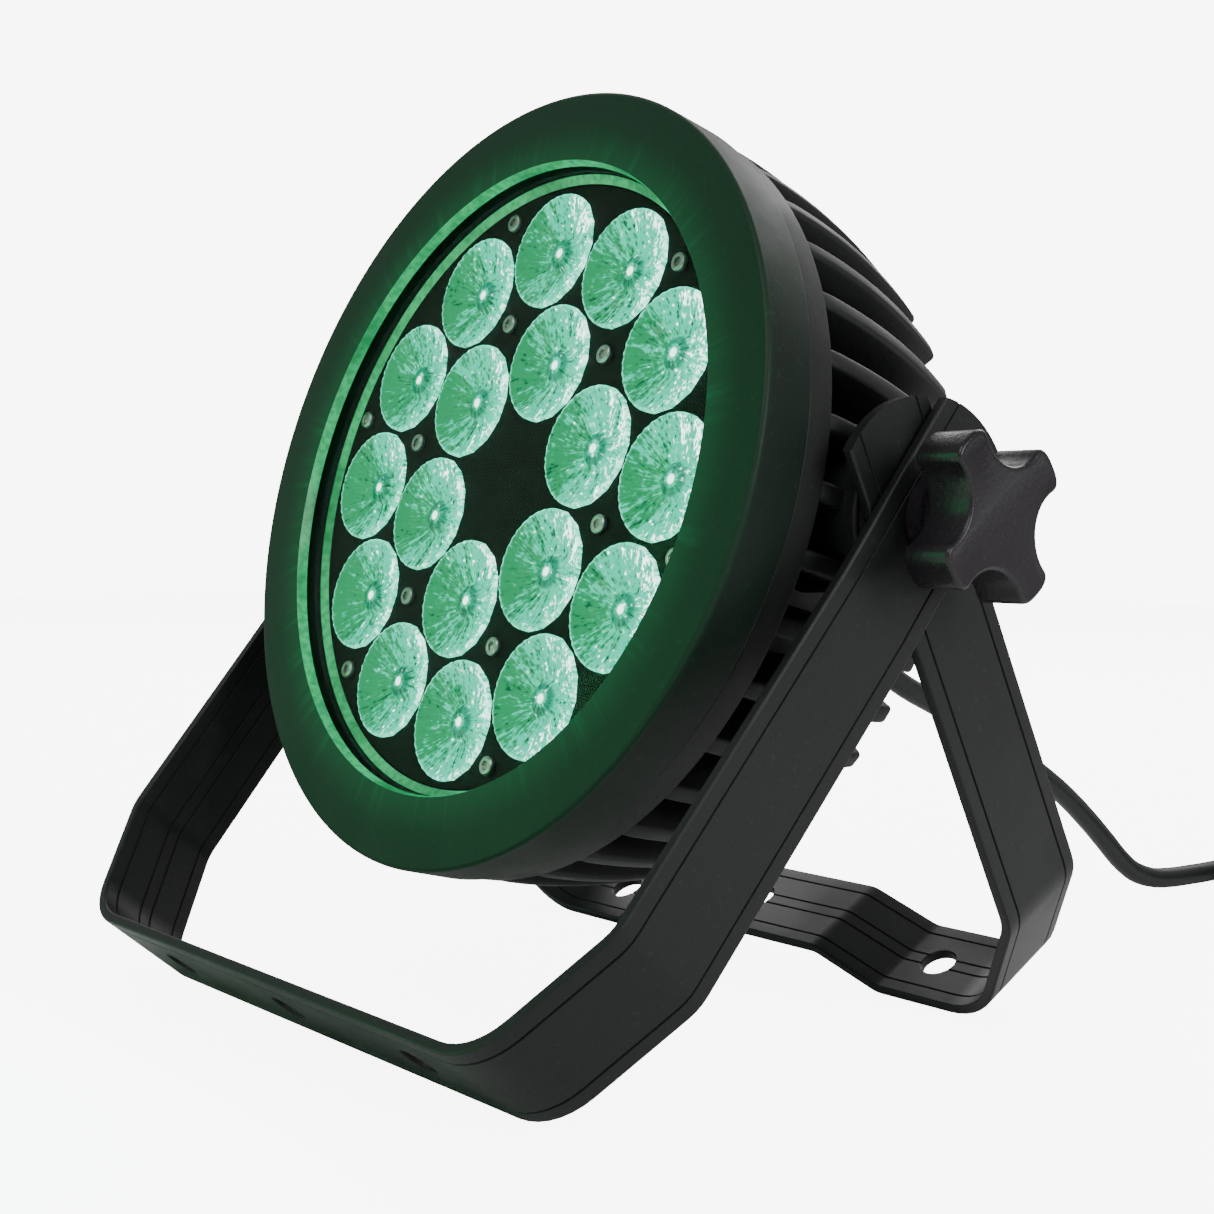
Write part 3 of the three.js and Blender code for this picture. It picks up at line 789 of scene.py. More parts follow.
class Finishes:
    """Every finish on the light, made once."""

    def __init__(self) -> None:
        """Builds them."""
        Effects.prepare()
        # The bezel coat is black; the green tint in its colours is painted lens light.
        self.bezel = LitCoat("bezel coat", (0.0026, 0.0088, 0.0050, 1), (0.0036, 0.0115, 0.0066, 1),
                             0.46, 0.56, 1300.0, 0.22, specular=0.20).material()
        self.casting = LitCoat("casting coat", (0.0048, 0.0058, 0.0054, 1), (0.0066, 0.008, 0.0074, 1),
                               0.48, 0.6, 1100.0, 0.30, even_glow=0.0).material()
        self.strap = Coat("strap coat", (0.0068, 0.0074, 0.0078, 1), (0.0084, 0.009, 0.0095, 1), 0.40, 0.50,
                          1900.0, 0.20).material()
        self.lip = LitEdge("lit lip").material()
        # The lens plate is black; the green tint in its colours is painted lens light.
        self.plate = Coat("plate black", (0.0012, 0.007, 0.003, 1), (0.002, 0.010, 0.0045, 1), 0.5, 0.62,
                          900.0, 0.15, specular=0.12).material()
        self.lens = LitLens("lit lens").material()
        self.knob = Coat("moulded plastic", (0.0095, 0.0072, 0.0098, 1), (0.0135, 0.0105, 0.014, 1),
                         0.26, 0.38, 620.0, 0.55, 0.0003, coat=0.15).material()
        self.rubber = Coat("black rubber", (0.010, 0.011, 0.0105, 1), (0.014, 0.015, 0.0145, 1), 0.55, 0.7,
                           1200.0, 0.2).material()
        self.sheath = Coat("lead sheath", (0.010, 0.012, 0.011, 1), (0.014, 0.0155, 0.015, 1), 0.36, 0.46,
                           900.0, 0.12).material()
        self.steel = Coat("zinc plate", (0.42, 0.46, 0.42, 1), (0.30, 0.33, 0.30, 1), 0.28, 0.42, 1500.0, 0.1,
                          metallic=1.0).material()
        self.board = Coat("board mask", (0.02, 0.09, 0.04, 1), (0.03, 0.12, 0.05, 1), 0.4, 0.5).material()
        self.tray = Coat("mill aluminium", (0.5, 0.51, 0.52, 1), (0.4, 0.41, 0.42, 1), 0.35, 0.5,
                         metallic=1.0).material()
        self.weave = Coat("tie weave", (0.012, 0.012, 0.013, 1), (0.018, 0.018, 0.019, 1), 0.8, 0.9,
                          2400.0, 0.6).material()
        self.glass = Pane("front glass").material()
        self.window = Pane("display window", (0.10, 0.14, 0.12, 1.0), 0.05).material()


# ------------------------------------------------------------------ camera, light and floor


@dataclass
class Studio:
    """Camera, soft lights and a pale floor."""

    eye: tuple[float, float, float] = (0.4720, -0.3677, 0.1540)
    ahead: tuple[float, float, float] = (-0.7520, 0.6583, -0.0336)
    up: tuple[float, float, float] = (-0.0333, 0.0129, 0.9994)
    focal: float = 52.37
    shift: Point2 = (-0.0473, -0.0043)
    floor_size: float = 8.0
    fill: float = 0.42
    white: float = 8.0
    middle: tuple[float, float, float] = (0.0, 0.0, 0.16)
    green: tuple[float, float, float] = (0.02, 1.0, 0.28)
    panels: tuple[tuple[str, tuple[float, float, float], float, float], ...] = (
        ("key light", (0.9, -1.3, 1.9), 1.2, 22.0),
        ("side light", (1.9, 0.3, 0.9), 1.0, 20.0),
        ("left light", (-1.7, 0.9, 1.3), 1.2, 12.0),
        ("back light", (-0.4, 1.7, 1.5), 1.2, 16.0),
    )

    def camera(self) -> None:
        """Sets up the camera."""
        data = bpy.data.cameras.new("camera")
        data.lens = self.focal
        data.sensor_width = 36.0
        data.shift_x, data.shift_y = self.shift
        data.clip_start = 0.02
        back = -Vector(self.ahead).normalized()
        right = Vector(self.up).cross(back).normalized()
        holder = bpy.data.objects.new("camera", data)
        holder.matrix_world = axes_matrix(right, back.cross(right), back, Vector(self.eye))
        bpy.context.scene.collection.objects.link(holder)
        bpy.context.scene.camera = holder

    def panel(self, name: str, at: Sequence[float], size: float, power: float, aim: Sequence[float]) -> Piece:
        """Adds one soft square light.

        Args:
            name: The light's name.
            at: Where it hangs.
            size: Its side in metres.
            power: Its power in watts.
            aim: The point that it faces.

        Returns:
            The light.
        """
        data = bpy.data.lights.new(name, "AREA")
        data.shape = "SQUARE"
        data.size = size
        data.energy = power
        holder = bpy.data.objects.new(name, data)
        back = (Vector(at) - Vector(aim)).normalized()
        holder.location = at
        holder.rotation_euler = back.to_track_quat("Z", "Y").to_euler()
        bpy.context.scene.collection.objects.link(holder)
        return holder

    def lights(self) -> None:
        """Hangs the lights and sets the world's pale fill."""
        for name, at, size, power in self.panels:
            self.panel(name, at, size, power, self.middle)
        glow = self.panel("lens glow", PIVOT + FACING * 0.11, 0.17, 2.2, PIVOT + FACING)
        glow.data.color = self.green
        glow.visible_camera = False
        glow.visible_transmission = False
        spill = self.panel("green spill", (-0.6, -0.9, 0.35), 0.6, 2.6, self.middle)
        spill.data.color = self.green
        world = bpy.data.worlds.new("pale room")
        world.use_nodes = True
        back = world.node_tree.nodes["Background"]
        back.inputs["Color"].default_value = (1.0, 1.0, 1.0, 1.0)
        nodes = Nodes(world.node_tree)
        seen = nodes.add("ShaderNodeLightPath").outputs["Is Camera Ray"]
        strength = nodes.span(seen, 0.0, 1.0, self.fill, self.white)
        world.node_tree.links.new(strength, back.inputs["Strength"])
        bpy.context.scene.world = world

    def floor(self) -> None:
        """Lays the floor."""
        bm = bmesh.new()
        bmesh.ops.create_grid(bm, x_segments=2, y_segments=2, size=self.floor_size / 2)
        floor = mesh_object("floor", moved(bm, Matrix.Translation((0, 0, -0.0004))))
        material, nodes, shader = new_finish("pale floor")
        seen = nodes.add("ShaderNodeLightPath").outputs["Is Camera Ray"]
        nodes.join(shader, {
            "Base Color": (0.93, 0.93, 0.93, 1.0),
            "Roughness": 0.9,
            "Specular IOR Level": 0.1,
            "Emission Color": (1.0, 1.0, 1.0, 1.0),
            "Emission Strength": nodes.span(seen, 0.0, 1.0, 0.0, self.white - 0.9),
        })
        floor.data.materials.append(material)


# ------------------------------------------------------------------ lead


@dataclass
class Lead:
    """The mains lead: gland, strain relief, free stretch, coil, ties and plug."""

    radius: float = 4.5
    coil_centre: Point2 = (84.0, 411.0)
    coil_radius: float = 53.5
    coil_turns: float = 3.5
    gland: Point2 = (20.0, -22.0)
    cover_face: float = -57.3
    relief_length: float = 36.0
    sleeve_radius: float = 6.2
    sleeve_length: float = 30.0
    plug_radius: float = 18.5
    plug_length: float = 36.0
    route: tuple[tuple[float, float, float], ...] = (
        (20, 152, 99.5), (20, 171, 91.5), (20, 191, 83), (20, 211, 73.5), (20, 230, 63.5), (20, 247, 54),
        (20, 261, 45), (20, 274, 35.5), (20, 286, 26), (20, 297, 17), (20.5, 308, 9.8), (22, 320, 5.8),
        (23.5, 333, 4.6), (25, 347, 4.5), (26, 362, 4.5),
    )

    def relief_end(self) -> float:
        """Height of the strain relief's tip on the head's axis."""
        return self.cover_face - 13.9 - self.relief_length

    def exit(self) -> Vector:
        """Where the lead leaves its strain relief."""
        return HEAD_PLACE @ (Vector((*self.gland, self.relief_end() - 0.3)) * MM)

    def mouth(self, radius: float) -> float:
        """How far from the coil's middle a tube on its outer turn meets the coil."""
        outside = self.coil_radius + 2 * self.radius + 0.6
        return math.sqrt(outside ** 2 - (self.coil_radius + self.radius - radius) ** 2) + 0.3

    def wound(self) -> list[Vector]:
        """Centre line of the coil: out and low, in and low, in and high, then out and high.

        Returns:
            The points, in metres.
        """
        def ease(value: float, low: float, high: float) -> float:
            """0 to 1 between two values, with soft ends."""
            t = max(0.0, min(1.0, (value - low) / (high - low)))
            return t * t * (3 - 2 * t)

        points = []
        pitch = self.radius * 1.005
        steps = int(self.coil_turns * 40)
        for k in range(steps + 1):
            turned = 360.0 * self.coil_turns * k / steps
            inward = ease(turned, 300, 356) - ease(turned, 904, 984)
            high = ease(turned, 590, 676)
            reach = self.coil_radius + pitch * (1 - 2 * inward)
            angle = math.radians(180.0 - turned)
            points.append(Vector((self.coil_centre[0] + reach * math.cos(angle),
                                  self.coil_centre[1] + reach * math.sin(angle),
                                  self.radius + 2 * self.radius * high)) * MM)
        return points

    def free(self) -> list[Vector]:
        """Centre line from the strain relief to the coil.

        Returns:
            The points, in metres.
        """
        start = self.exit()
        knots = [start, start - FACING * 9 * MM, *(Vector(at) * MM for at in self.route)]
        knots.append(self.wound()[0] - Vector((0, self.mouth(self.radius) * 0.5, 0)) * MM)
        knots.append(self.wound()[0])
        points = []
        padded = [knots[0] * 2 - knots[1], *knots, knots[-1] * 2 - knots[-2]]
        for a, b, c, d in zip(padded, padded[1:], padded[2:], padded[3:]):
            for k in range(5):
                t = k / 5
                points.append(0.5 * (2 * b + (c - a) * t + (2 * a - 5 * b + 4 * c - d) * t ** 2
                                     + (3 * b - a - 3 * c + d) * t ** 3))
        return points

    def flex(self, finish: Finish) -> Piece:
        """Makes the lead itself as one round curve.

        Args:
            finish: The sheath.

        Returns:
            The curve object.
        """
        points = self.free() + self.wound()
        last = points[-1] - Vector((0, self.mouth(self.sleeve_radius) + 4, 0)) * MM
        points.append((points[-1] + last) / 2)
        points.append(last)
        curve = bpy.data.curves.new("mains_lead", "CURVE")
        curve.dimensions = "3D"
        curve.bevel_depth = self.radius * MM
        curve.bevel_resolution = 5
        curve.use_fill_caps = True
        line = curve.splines.new("POLY")
        line.points.add(len(points) - 1)
        for spot, at in zip(line.points, points):
            spot.co = (*at, 1.0)
        line.use_smooth = True
        curve.materials.append(finish)
        lead = bpy.data.objects.new("mains_lead", curve)
        bpy.context.scene.collection.objects.link(lead)
        return lead

    def relief(self, finish: Finish) -> Piece:
        """A tapered sleeve with rings cut into it."""
        top, tip = self.relief_end() + self.relief_length, self.relief_end()
        profile = [(0.0, top), (6.5, top), (6.5, top - 7)]
        rings = 6
        for i in range(rings):
            z = top - 8 - i * 4.1
            wide = 6.5 - 1.1 * (i + 0.5) / rings
            profile += [(wide, z), (wide - 0.9, z - 0.5), (wide - 0.9, z - 1.3), (wide - 0.1, z - 1.8)]
        profile += [(self.radius + 0.8, tip + 1.0), (self.radius + 0.3, tip), (0.0, tip)]
        bm = moved(spun(profile, 40), Matrix.Translation(Vector((*self.gland, 0)) * MM))
        return dress(mesh_object("lead_relief", moved(bm, HEAD_PLACE), 40), Slot.RUBBER, finish)

    def plug(self, finish: Finish, metal: Finish) -> Piece:
        """The plug with its curved sleeve, grip ribs and two pins.

        Args:
            finish: The moulded body.
            metal: The pins.

        Returns:
            The plug.
        """
        x = self.coil_centre[0] + self.coil_radius + self.radius
        start = self.coil_centre[1] - self.mouth(self.sleeve_radius)
        low = 3 * self.radius
        knots = rounded([
            (0.0, low, 0), (self.sleeve_length * 0.4, low, 26),
            (self.sleeve_length * 0.62, self.plug_radius, 26), (self.sleeve_length, self.plug_radius, 0),
        ])
        sleeve = bmesh.new()
        ring = bmesh.ops.create_circle(sleeve, cap_ends=True, segments=24, radius=self.sleeve_radius * MM)
        edges = list(sleeve.edges)
        to_row = Matrix.Rotation(math.radians(90), 4, "X")
        bmesh.ops.transform(sleeve, matrix=Matrix.Translation(Vector((x, start, low)) * MM) @ to_row,
                            space=Matrix.Identity(4), verts=ring["verts"])
        for (a, za), (b, zb) in zip(knots, knots[1:]):
            grown = bmesh.ops.extrude_edge_only(sleeve, edges=edges)["geom"]
            edges = [g for g in grown if isinstance(g, bmesh.types.BMEdge)]
            verts = [g for g in grown if isinstance(g, bmesh.types.BMVert)]
            bmesh.ops.translate(sleeve, verts=verts, vec=Vector((0, a - b, zb - za)) * MM)
        bmesh.ops.edgeloop_fill(sleeve, edges=edges)
        bmesh.ops.recalc_face_normals(sleeve, faces=sleeve.faces)
        outline = rounded([(0, 0, 0), (7.7, 0, 1), (12, 8, 4), (self.plug_radius, 15, 3),
                           (self.plug_radius, self.plug_length, 1.2), (0, self.plug_length, 0)])
        body = spun(outline, 64)
        ribs = []
        for angle in range(0, 360, 20):
            rib = brick((self.plug_radius - 1.4, -1.0, 18), (self.plug_radius - 0.1, 1.0, 33))
            soften(rib, 0.4)
            ribs.append(moved(rib, Matrix.Rotation(math.radians(angle), 4, "Z")))
        pins = []
        for side in (-1, 1):
            tip = rounded([(0, 35, 0), (2.4, 35, 0), (2.4, 55, 1.6), (0, 55, 0)])
            pins.append(moved(spun(tip, 24), Matrix.Translation((side * 9.5 * MM, 0, 0))))
        place = Matrix.Translation(Vector((x, start - self.sleeve_length, self.plug_radius)) * MM) @ to_row
        whole = joined([sleeve, moved(joined([body, *ribs]), place), moved(joined(pins), place)])
        plug = dress(mesh_object("mains_plug", whole, 35), Slot.RUBBER, finish, metal)
        edge = start - self.sleeve_length - self.plug_length
        for face in plug.data.polygons:
            if face.center.y < (edge - 0.2) * MM:
                face.material_index = 1
        return plug

    def tie(self, name: str, angle: float, finish: Finish) -> Piece:
        """One woven tie round the coil.

        Args:
            name: Name of the piece.
            angle: Where on the coil it sits, in degrees.
            finish: The weave.

        Returns:
            The tie.
        """
        half = 2 * self.radius + 0.4
        top = 4 * self.radius + 0.3
        outer = rounded([(-half - 0.8, 0.1, 5), (half + 0.8, 0.1, 5), (half + 0.8, top + 0.7, 5),
                         (-half - 0.8, top + 0.7, 5)], closed=True)
        inner = rounded([(-half, 0.9, 4.2), (half, 0.9, 4.2), (half, top, 4.2), (-half, top, 4.2)],
                        closed=True)
        band = bmesh.new()
        loops = []
        for outline in (outer, inner):
            verts = [band.verts.new((u * MM, -6.5 * MM, v * MM)) for u, v in outline]
            loops.append([band.edges.new(pair) for pair in zip(verts, verts[1:] + verts[:1])])
        bmesh.ops.bridge_loops(band, edges=loops[0] + loops[1])
        grown = bmesh.ops.extrude_face_region(band, geom=list(band.faces))["geom"]
        bmesh.ops.translate(band, verts=[g for g in grown if isinstance(g, bmesh.types.BMVert)],
                            vec=(0, 13 * MM, 0))
        bmesh.ops.recalc_face_normals(band, faces=band.faces)
        spin = Matrix.Rotation(math.radians(angle), 4, "Z")
        place = Matrix.Translation(Vector((*self.coil_centre, 0)) * MM) @ spin
        bm = moved(band, place @ Matrix.Translation((self.coil_radius * MM, 0, 0)))
        return dress(mesh_object(name, bm, 40), Slot.RUBBER, finish)

    def build(self, finishes: Finishes) -> None:
        """Makes the lead and all that is on it."""
        lead = settle(self.flex(finishes.sheath), Body.HEAD, "power_cord", "cord_coil")
        relief = settle(self.relief(finishes.rubber), Body.HEAD, "strain_relief")
        plug = settle(self.plug(finishes.rubber, finishes.steel), Body.HEAD, "power_plug")
        ties = [
            settle(self.tie(f"coil_tie_{i + 1}", 60 + 120 * i, finishes.weave), Body.HEAD) for i in range(3)
        ]
        line = [spot.co.to_3d() for spot in lead.data.splines[0].points]
        length = sum((b - a).length for a, b in zip(line, line[1:]))
        LOG.info("lead: %.3f m", length)


# ------------------------------------------------------------------ head


@dataclass
class Bezel:
    """The front ring, with a lit lip round its opening."""

    radius: float = 129.6
    front: float = 58.7
    rear: float = 40.3
    opening: float = 106.2
    lip: float = 3.9
    pocket: float = 112.4
    wall: float = 4.0
    seat: float = 48.7

    def build(self, finishes: Finishes) -> None:
        """Makes the ring."""
        inside = self.radius - self.wall
        lip_rear = self.front - self.lip
        profile = rounded([
            (inside, self.rear, 0.4), (self.radius, self.rear, 0.9), (self.radius, self.front, 1.7),
            (self.opening, self.front, 0.35), (self.opening - 0.8, lip_rear, 0.2), (self.pocket, lip_rear, 0),
            (self.pocket, self.seat, 0), (inside, self.seat, 0),
        ], closed=True)
        bm = moved(spun(profile, 192, closed=True), HEAD_PLACE)
        ring = dress(mesh_object("bezel_ring", bm, 50), Slot.HOUSING, finishes.bezel, finishes.lip)
        # The lip faces take the painted lens glow.
        inverse = HEAD_PLACE.inverted()
        for face in ring.data.polygons:
            at = inverse @ face.center / MM
            if at.xy.length < self.opening + 0.05 and lip_rear < at.z < self.front - 0.1:
                face.material_index = 1
        settle(ring, Body.HEAD, "front_bezel")


@dataclass
class Casting:
    """The finned housing behind the bezel."""

    collar_radius: float = 128.4
    collar_front: float = 40.0
    collar_rear: float = 30.3
    rear: float = -42.7
    flange_radius: float = 125.2
    flange_top: float = 48.4
    chamber: float = 83.0
    floor: float = 22.0
    floor_wall: float = 6.0
    core_front: float = 104.0
    core_rear: float = 90.0
    rim: float = 105.1
    seat: float = 102.4
    fins: int = 40
    fin_thickness: float = 6.2
    fin_rear_radius: float = 115.7
    boss_radius: float = 21.5
    boss_end: float = 133.4
    stud_hole: float = 5.4

    def shell(self) -> Mesh:
        """The turned body with its collar, floor and driver chamber.

        Returns:
            The mesh, in the head's own axes.
        """
        profile = rounded([
            (0, self.floor - self.floor_wall, 0), (self.chamber, self.floor - self.floor_wall, 2),
            (self.chamber, self.rear, 0.6), (self.core_rear, self.rear, 1.0),
            (self.core_front, self.collar_rear, 3.0), (self.collar_radius, self.collar_rear, 0.8),
            (self.collar_radius, self.collar_front, 0.8), (self.flange_radius, self.collar_front, 0.4),
            (self.flange_radius, self.flange_top, 0.3), (self.rim, self.flange_top, 0.2),
            (self.seat, 46.6, 0.1), (self.seat, 44.0, 0), (self.core_front - 4.5, 44.0, 0.2),
            (self.core_front - 4.5, self.floor, 1.5), (0, self.floor, 0),
        ])
        return spun(profile, 160)

    def fin(self) -> Mesh:
        """One fin, standing on the core at angle 0.

        Returns:
            The mesh, in the head's own axes.
        """
        def outer(z: float) -> float:
            """Radius of the fins' outside at a height."""
            along = (self.collar_rear - z) / (self.collar_rear - self.rear)
            return self.collar_radius - (self.collar_radius - self.fin_rear_radius) * along ** 2

        steps = 12
        heights = [self.rear + (self.collar_rear + 2 - self.rear) * i / steps for i in range(steps + 1)]
        outline = []
        for z in heights:
            sunk = 0.3 if z > self.collar_rear else 0.0
            outline.append((z, outer(min(z, self.collar_rear)) - sunk))
        outline += [(self.collar_rear + 2, self.core_front - 2), (self.rear + 0.2, self.core_rear - 2)]
        bm = slab(outline, -self.fin_thickness / 2, self.fin_thickness / 2)
        soften(bm, 1.5, 3, 50)
        upright = Matrix(((0, 1, 0, 0), (0, 0, 1, 0), (1, 0, 0, 0), (0, 0, 0, 1)))
        return moved(bm, upright)

    def bosses(self) -> list[Mesh]:
        """The two pivot bosses, each with a bore for its stud."""
        made = []
        for side in (-1, 1):
            profile = rounded([
                (self.stud_hole, self.boss_end, 0.6), (self.boss_radius, self.boss_end, 1.2),
                (self.boss_radius, 118, 0), (self.boss_radius + 1.5, self.core_rear - 2, 0),
                (self.stud_hole, self.core_rear - 2, 0),
            ], closed=True)
            turn = Matrix.Rotation(side * math.pi / 2, 4, "Y")
            made.append(moved(spun(profile, 64, closed=True), turn))
        return made

    def build(self, finishes: Finishes) -> None:
        """Makes the casting."""
        fin = self.fin()
        bore = rod(self.stud_hole, self.core_rear, self.boss_end + 2)
        bored = carve(fin.copy(), [moved(bore, Matrix.Rotation(math.pi / 2, 4, "Y"))])
        fins = []
        for i in range(self.fins):
            kind = fin if i % (self.fins // 2) else bored
            fins.append(moved(kind.copy(), Matrix.Rotation(math.tau * i / self.fins, 4, "Z")))
        fin.free()
        bored.free()
        bm = moved(joined([self.shell(), *fins, *self.bosses()]), HEAD_PLACE)
        casting = dress(mesh_object("finned_casting", bm, 40), Slot.HOUSING, finishes.casting, finishes.lip)
        # The rim ring inside the flange takes the painted lens glow.
        inverse = HEAD_PLACE.inverted()
        for face in casting.data.polygons:
            at = inverse @ face.center / MM
            if self.seat + 0.05 < at.xy.length < self.rim and 46.55 < at.z < self.flange_top:
                face.material_index = 1
        settle(casting, Body.HEAD, "housing")


@dataclass
class Optics:
    """Lens plate screws and the eighteen lenses."""

    outer_radius: float = 80.0
    inner_radius: float = 41.4
    lens_radius: float = 19.85
    rims: float = 47.3
    depth: float = 5.0
    screw_seat: float = 46.8
    screw_head: float = 3.1

    def centres(self) -> list[Point2]:
        """Lens centres in the order of the plain solids."""
        return ring_points(12, self.outer_radius, 0) + ring_points(6, self.inner_radius, 15)

    def screw_centres(self) -> list[Point2]:
        """Screw centres in the order of the plain solids."""
        return ring_points(6, 57.0, 45) + ring_points(6, 95.8, 45)

    def lens(self, name: str, at: Point2, finish: Finish) -> Piece:
        """One lens: a beaded rim round a shallow ribbed bowl with a domed middle.

        Args:
            name: Name of the piece.
            at: Its centre on the plate, in millimetres.
            finish: The lit plastic.

        Returns:
            The lens.
        """
        r = self.lens_radius
        bowl = [(r * (0.93 - 0.60 * i / 7), -self.depth * (i / 7) ** 0.8) for i in range(8)]
        profile = [(0, -9.0), (r * 0.5, -9.0), (r, -3.2), (r, -0.35), (r * 0.985, 0.15), (r * 0.955, 0.25),
                   *bowl, (r * 0.315, -self.depth + 0.2), (r * 0.25, -self.depth + 1.3),
                   (r * 0.12, -self.depth + 1.9), (0, -self.depth + 2.0)]
        bm = spun(profile, 144)
        for vert in bm.verts:
            radius = vert.co.xy.length / MM / r
            angle = math.atan2(vert.co.y, vert.co.x)
            if radius > 0.94 and vert.co.z > -0.001:
                vert.co.z += 0.16 * MM * math.cos(36 * angle)
            elif 0.36 < radius < 0.92 and vert.co.z > -0.006:
                vert.co.z += 0.34 * MM * math.cos(48 * angle) * math.sin(math.pi * (radius - 0.36) / 0.56)
        chart = bm.loops.layers.uv.new("lens")
        for face in bm.faces:
            for loop in face.loops:
                loop[chart].uv = (loop.vert.co.x / r / MM / 2 + 0.5, loop.vert.co.y / r / MM / 2 + 0.5)
        place = HEAD_PLACE @ Matrix.Translation(Vector((*at, self.rims)) * MM)
        return dress(mesh_object(name, moved(bm, place), 60), Slot.LENS, finish)

    def screw(self, name: str, at: Point2, turn: float, finish: Finish) -> Piece:
        """One pan head screw with a six sided socket.

        Args:
            name: Name of the piece.
            at: Its centre on the plate, in millimetres.
            turn: How far the socket is turned, in degrees.
            finish: The metal.

        Returns:
            The screw.
        """
        r = self.screw_head
        profile = rounded([(1.45, -8.0, 0), (1.45, 0, 0), (r, 0, 0.1), (r, 1.9, 0.9), (1.5, 1.9, 0.2),
                           (1.5, 0.7, 0.1), (0, 0.6, 0)])
        head = spun([(0, -8.0), *profile], 48)
        for vert in head.verts:
            radius = vert.co.xy.length / MM
            if 1.2 < radius < 1.75 and vert.co.z > 0.0005:
                sector = (math.atan2(vert.co.y, vert.co.x) + math.radians(turn)) % (math.pi / 3) - math.pi / 6
                vert.co.xy *= 0.93 / math.cos(sector)
        place = HEAD_PLACE @ Matrix.Translation(Vector((*at, self.screw_seat)) * MM)
        return dress(mesh_object(name, moved(head, place), 30), Slot.STEEL, finish)

    def build(self, finishes: Finishes) -> None:
        """Makes lenses and screws."""
        for i, at in enumerate(self.centres()):
            settle(self.lens(f"lit_lens_{i + 1:02d}", at, finishes.lens), Body.HEAD, f"lens_{i + 1:02d}")
        for i, at in enumerate(self.screw_centres()):
            screw = self.screw(f"pan_screw_{i + 1:02d}", at, 17.0 * i, finishes.steel)
            settle(screw, Body.HEAD, f"plate_screw_{i + 1:02d}")


